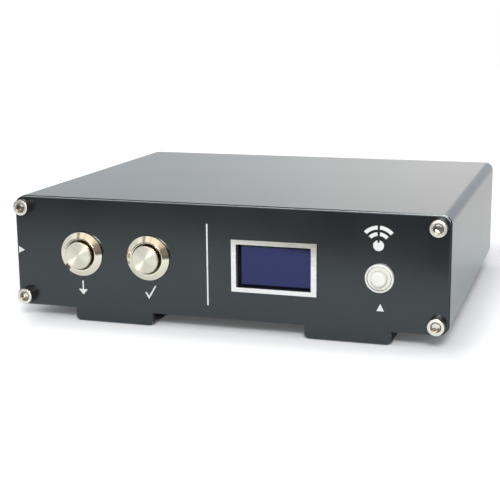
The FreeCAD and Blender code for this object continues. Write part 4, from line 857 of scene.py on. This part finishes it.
plated_brass = new_finish("nickel_plated_brass", (0.60, 0.57, 0.51), 0.22, metallic=1.0)
plating = noise_on(plated_brass, 0.5)
join_shader(plated_brass, Roughness=spread(plated_brass, plating, 0.20, 0.26),
            Base_Color=blend_colours(plated_brass, plating, (0.62, 0.59, 0.53), (0.56, 0.53, 0.47)),
            Normal=relief(plated_brass, noise_on(plated_brass, 4.0), 0.002, 0.25))
insulation = new_finish("white_insulator", (0.80, 0.79, 0.75), 0.45)
join_shader(insulation, Roughness=spread(insulation, noise_on(insulation, 1.0), 0.38, 0.5),
            Normal=relief(insulation, noise_on(insulation, 4.0), 0.006, 0.4))
gilt = new_finish("gilded_contact", (0.80, 0.58, 0.27), 0.2, metallic=1.0)
join_shader(gilt, Roughness=spread(gilt, noise_on(gilt, 1.5), 0.16, 0.28),
            Normal=relief(gilt, noise_on(gilt, 5.0), 0.003, 0.4))

SOCKET_LEVEL, FIRST_SOCKET, SOCKET_SPACING = 19.0 + SLEEVE_FLOOR, -49.5, 27.0
MOUTH, MOUTH_EDGE, NOTCH_DEPTH, NOTCH_HALF_ANGLE = 15.7, 0.25, 1.0, 8
FLANGE_SIDE, FLANGE_THICKNESS, FLANGE_CORNER, SCREW_PITCH = 25.4, 3.0, 2.0, 18.2
socket_names = ("radio_socket", "antenna_1_socket", "antenna_2_socket", "antenna_3_socket")
socket_places = [FIRST_SOCKET + SOCKET_SPACING * i for i in range(4)]
for socket_name, across in zip(socket_names, socket_places):
    centre = (across, rear_face, SOCKET_LEVEL)
    barrel = turned([
        (4.25, -6.0), (5.8, -6.0), (5.8, 0.6), (7.1, 0.6), (7.1, 3.5),
        *ground_thread(7.94, 7.4, 4.0, 14.8, 1.06), (7.35, MOUTH - MOUTH_EDGE), (7.1, MOUTH),
        (6.45, MOUTH), (6.2, MOUTH - MOUTH_EDGE), (6.2, 1.0), (4.25, 1.0)], 72)
    for vert in barrel.verts:
        angle = math.degrees(math.atan2(vert.co.z, vert.co.x)) % 90
        if vert.co.y > MOUTH - 1.2 * MOUTH_EDGE and abs(angle - 45) < NOTCH_HALF_ANGLE:
            vert.co.y -= NOTCH_DEPTH
    shell = put_copies(barrel, f"{socket_name}_barrel", [(centre, False)])
    settle(shell, "case", "nickel_brass", plated_brass)

    square = bmesh.new()
    bmesh.ops.create_cube(square, size=1.0)
    bmesh.ops.scale(square, verts=square.verts, vec=(FLANGE_SIDE, FLANGE_THICKNESS, FLANGE_SIDE))
    bmesh.ops.translate(square, verts=square.verts, vec=(0, FLANGE_THICKNESS / 2, 0))
    corners = [e for e in square.edges if abs(e.verts[0].co.y - e.verts[1].co.y) > 1]
    bmesh.ops.bevel(square, geom=corners, offset=FLANGE_CORNER, affect="EDGES", segments=6,
                    profile=0.5, material=-1)
    flange = put_copies(square, f"{socket_name}_flange", [(centre, False)])
    soften_edges(flange, 0.25)
    settle(flange, "case", "nickel_brass", plated_brass, f"{socket_name}_shell")

    plug = turned([(2.75, -7.5), (4.2, -7.5), (4.2, 1.0), (6.15, 1.0), (6.15, 10.1),
                   (6.0, 10.2), (3.1, 10.2), (2.75, 9.9)], 64)
    insulator = put_copies(plug, f"{socket_name}_insert", [(centre, False)])
    settle(insulator, "case", "white_plastic", insulation, f"{socket_name}_insulator")

    tube = turned([(0, -1.3), (2.0, -1.3), (2.0, 10.45), (2.15, 10.7), (2.6, 10.7), (2.7, 10.55),
                   (2.7, -7.5), (1.5, -7.5), (1.5, -11.0), (0.9, -11.0), (0.9, -8.5),
                   (0, -8.5)], 48, closed=False)
    contact = put_copies(tube, f"{socket_name}_pin_tube", [(centre, False)])
    settle(contact, "case", "contact_copper", gilt, f"{socket_name}_contact")

half_pitch = SCREW_PITCH / 2
screw_set("flange_screws", "bright_screw", "socket_screws", [
    ((across + i * half_pitch, rear_face + FLANGE_THICKNESS, SOCKET_LEVEL + j * half_pitch), True)
    for across in socket_places for i in (-1, 1) for j in (-1, 1)])

# ------------------------------------------------------------------------------------ power socket
# Round socket for a barrel plug: a moulded black body with a flange outside the plate, and a
# bright centre pin.

moulded = new_finish("black_moulding", (0.018, 0.018, 0.019), 0.4)
join_shader(moulded, Normal=relief(moulded, noise_on(moulded, 3.0), 0.012, 0.5),
            Roughness=spread(moulded, noise_on(moulded, 0.8), 0.34, 0.46))
POWER_SPACING = 24.7
POWER_CENTRE = (socket_places[-1] + POWER_SPACING, rear_face, SOCKET_LEVEL)
jack = turned([
    (1.05, -12.0), (4.0, -12.0), *ground_thread(4.0, 3.75, -11.6, -1.9, 0.8), (4.0, 0.0),
    (5.5, 0.0), (5.5, 1.6), (5.38, 1.88), (5.1, 2.0), (3.1, 2.0), (2.9, 1.8), (2.9, -8.0),
    (1.05, -8.0)], 64)
jack_body = put_copies(jack, "power_jack", [(POWER_CENTRE, False)])
settle(jack_body, "case", "black_plastic", moulded, "power_socket_body")
needle = turned([(0, 1.0), (0.6, 0.95), (0.9, 0.7), (1.0, 0.4), (1.0, -15.0), (0, -15.0)], 32,
                closed=False)
pin = put_copies(needle, "power_pin", [(POWER_CENTRE, False)])
settle(pin, "case", "nickel_brass", plated_brass, "power_socket_pin")

# ------------------------------------------------------------------------------------ inside
# What the case holds: boards, relays, chips, wiring and the parts behind the panel. Each keeps
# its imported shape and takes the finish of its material.


def repaint(finish, *nodes):
    """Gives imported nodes, as they are, another finish."""
    for node in nodes:
        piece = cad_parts[node]
        piece.data.materials.clear()
        piece.data.materials.append(finish)


def mottled(name, light, dark, roughness, metallic=0.0, grains_per_mm=1.5, depth_mm=0.006):
    """A finish whose colour, gloss and surface all wander a little."""
    finish = new_finish(name, light, roughness, metallic)
    wander = noise_on(finish, grains_per_mm)
    join_shader(finish, Base_Color=blend_colours(finish, wander, light, dark),
                Roughness=spread(finish, wander, roughness * 0.85, roughness * 1.2),
                Normal=relief(finish, noise_on(finish, grains_per_mm * 3), depth_mm, 0.4))
    return finish


buttons = ("step_button", "confirm_button")
repaint(mottled("green_board", (0.02, 0.10, 0.035), (0.015, 0.075, 0.025), 0.35), "main_board")
repaint(mottled("blue_board", (0.01, 0.035, 0.14), (0.008, 0.025, 0.10), 0.35), "display_board")
repaint(mottled("relay_case", (0.03, 0.05, 0.12), (0.025, 0.04, 0.09), 0.4), "antenna_relays")
repaint(mottled("chip_moulding", (0.016, 0.016, 0.017), (0.022, 0.022, 0.022), 0.5),
        "controller_chip", "voltage_regulator", *(f"{b}_base" for b in buttons))
repaint(mottled("crystal_can", (0.74, 0.72, 0.68), (0.62, 0.60, 0.56), 0.25, 1.0),
        "controller_crystal")
repaint(mottled("capacitor_sleeve", (0.015, 0.02, 0.05), (0.02, 0.025, 0.06), 0.35),
        "smoothing_capacitors")
repaint(mottled("header_nylon", (0.72, 0.70, 0.64), (0.64, 0.62, 0.56), 0.45), "display_header")
repaint(mottled("ribbon_vinyl", (0.42, 0.42, 0.42), (0.34, 0.34, 0.34), 0.5), "display_ribbon")
repaint(mottled("red_vinyl", (0.45, 0.02, 0.015), (0.34, 0.015, 0.012), 0.4), "power_lead",
        "panel_leads")
repaint(mottled("ferrite", (0.045, 0.043, 0.042), (0.03, 0.03, 0.03), 0.7), "sensing_ring")
repaint(mottled("bare_copper", (0.72, 0.34, 0.17), (0.58, 0.26, 0.13), 0.3, 1.0),
        "sensing_winding", "rf_links", *(f"{b}_contact_disc" for b in buttons),
        *(f"{b}_terminals" for b in buttons))
repaint(spring_wire, "display_screws")
repaint(plated_brass, "display_posts", "lamp_nut", "power_socket_nut",
        *(f"{b}_nut" for b in buttons))
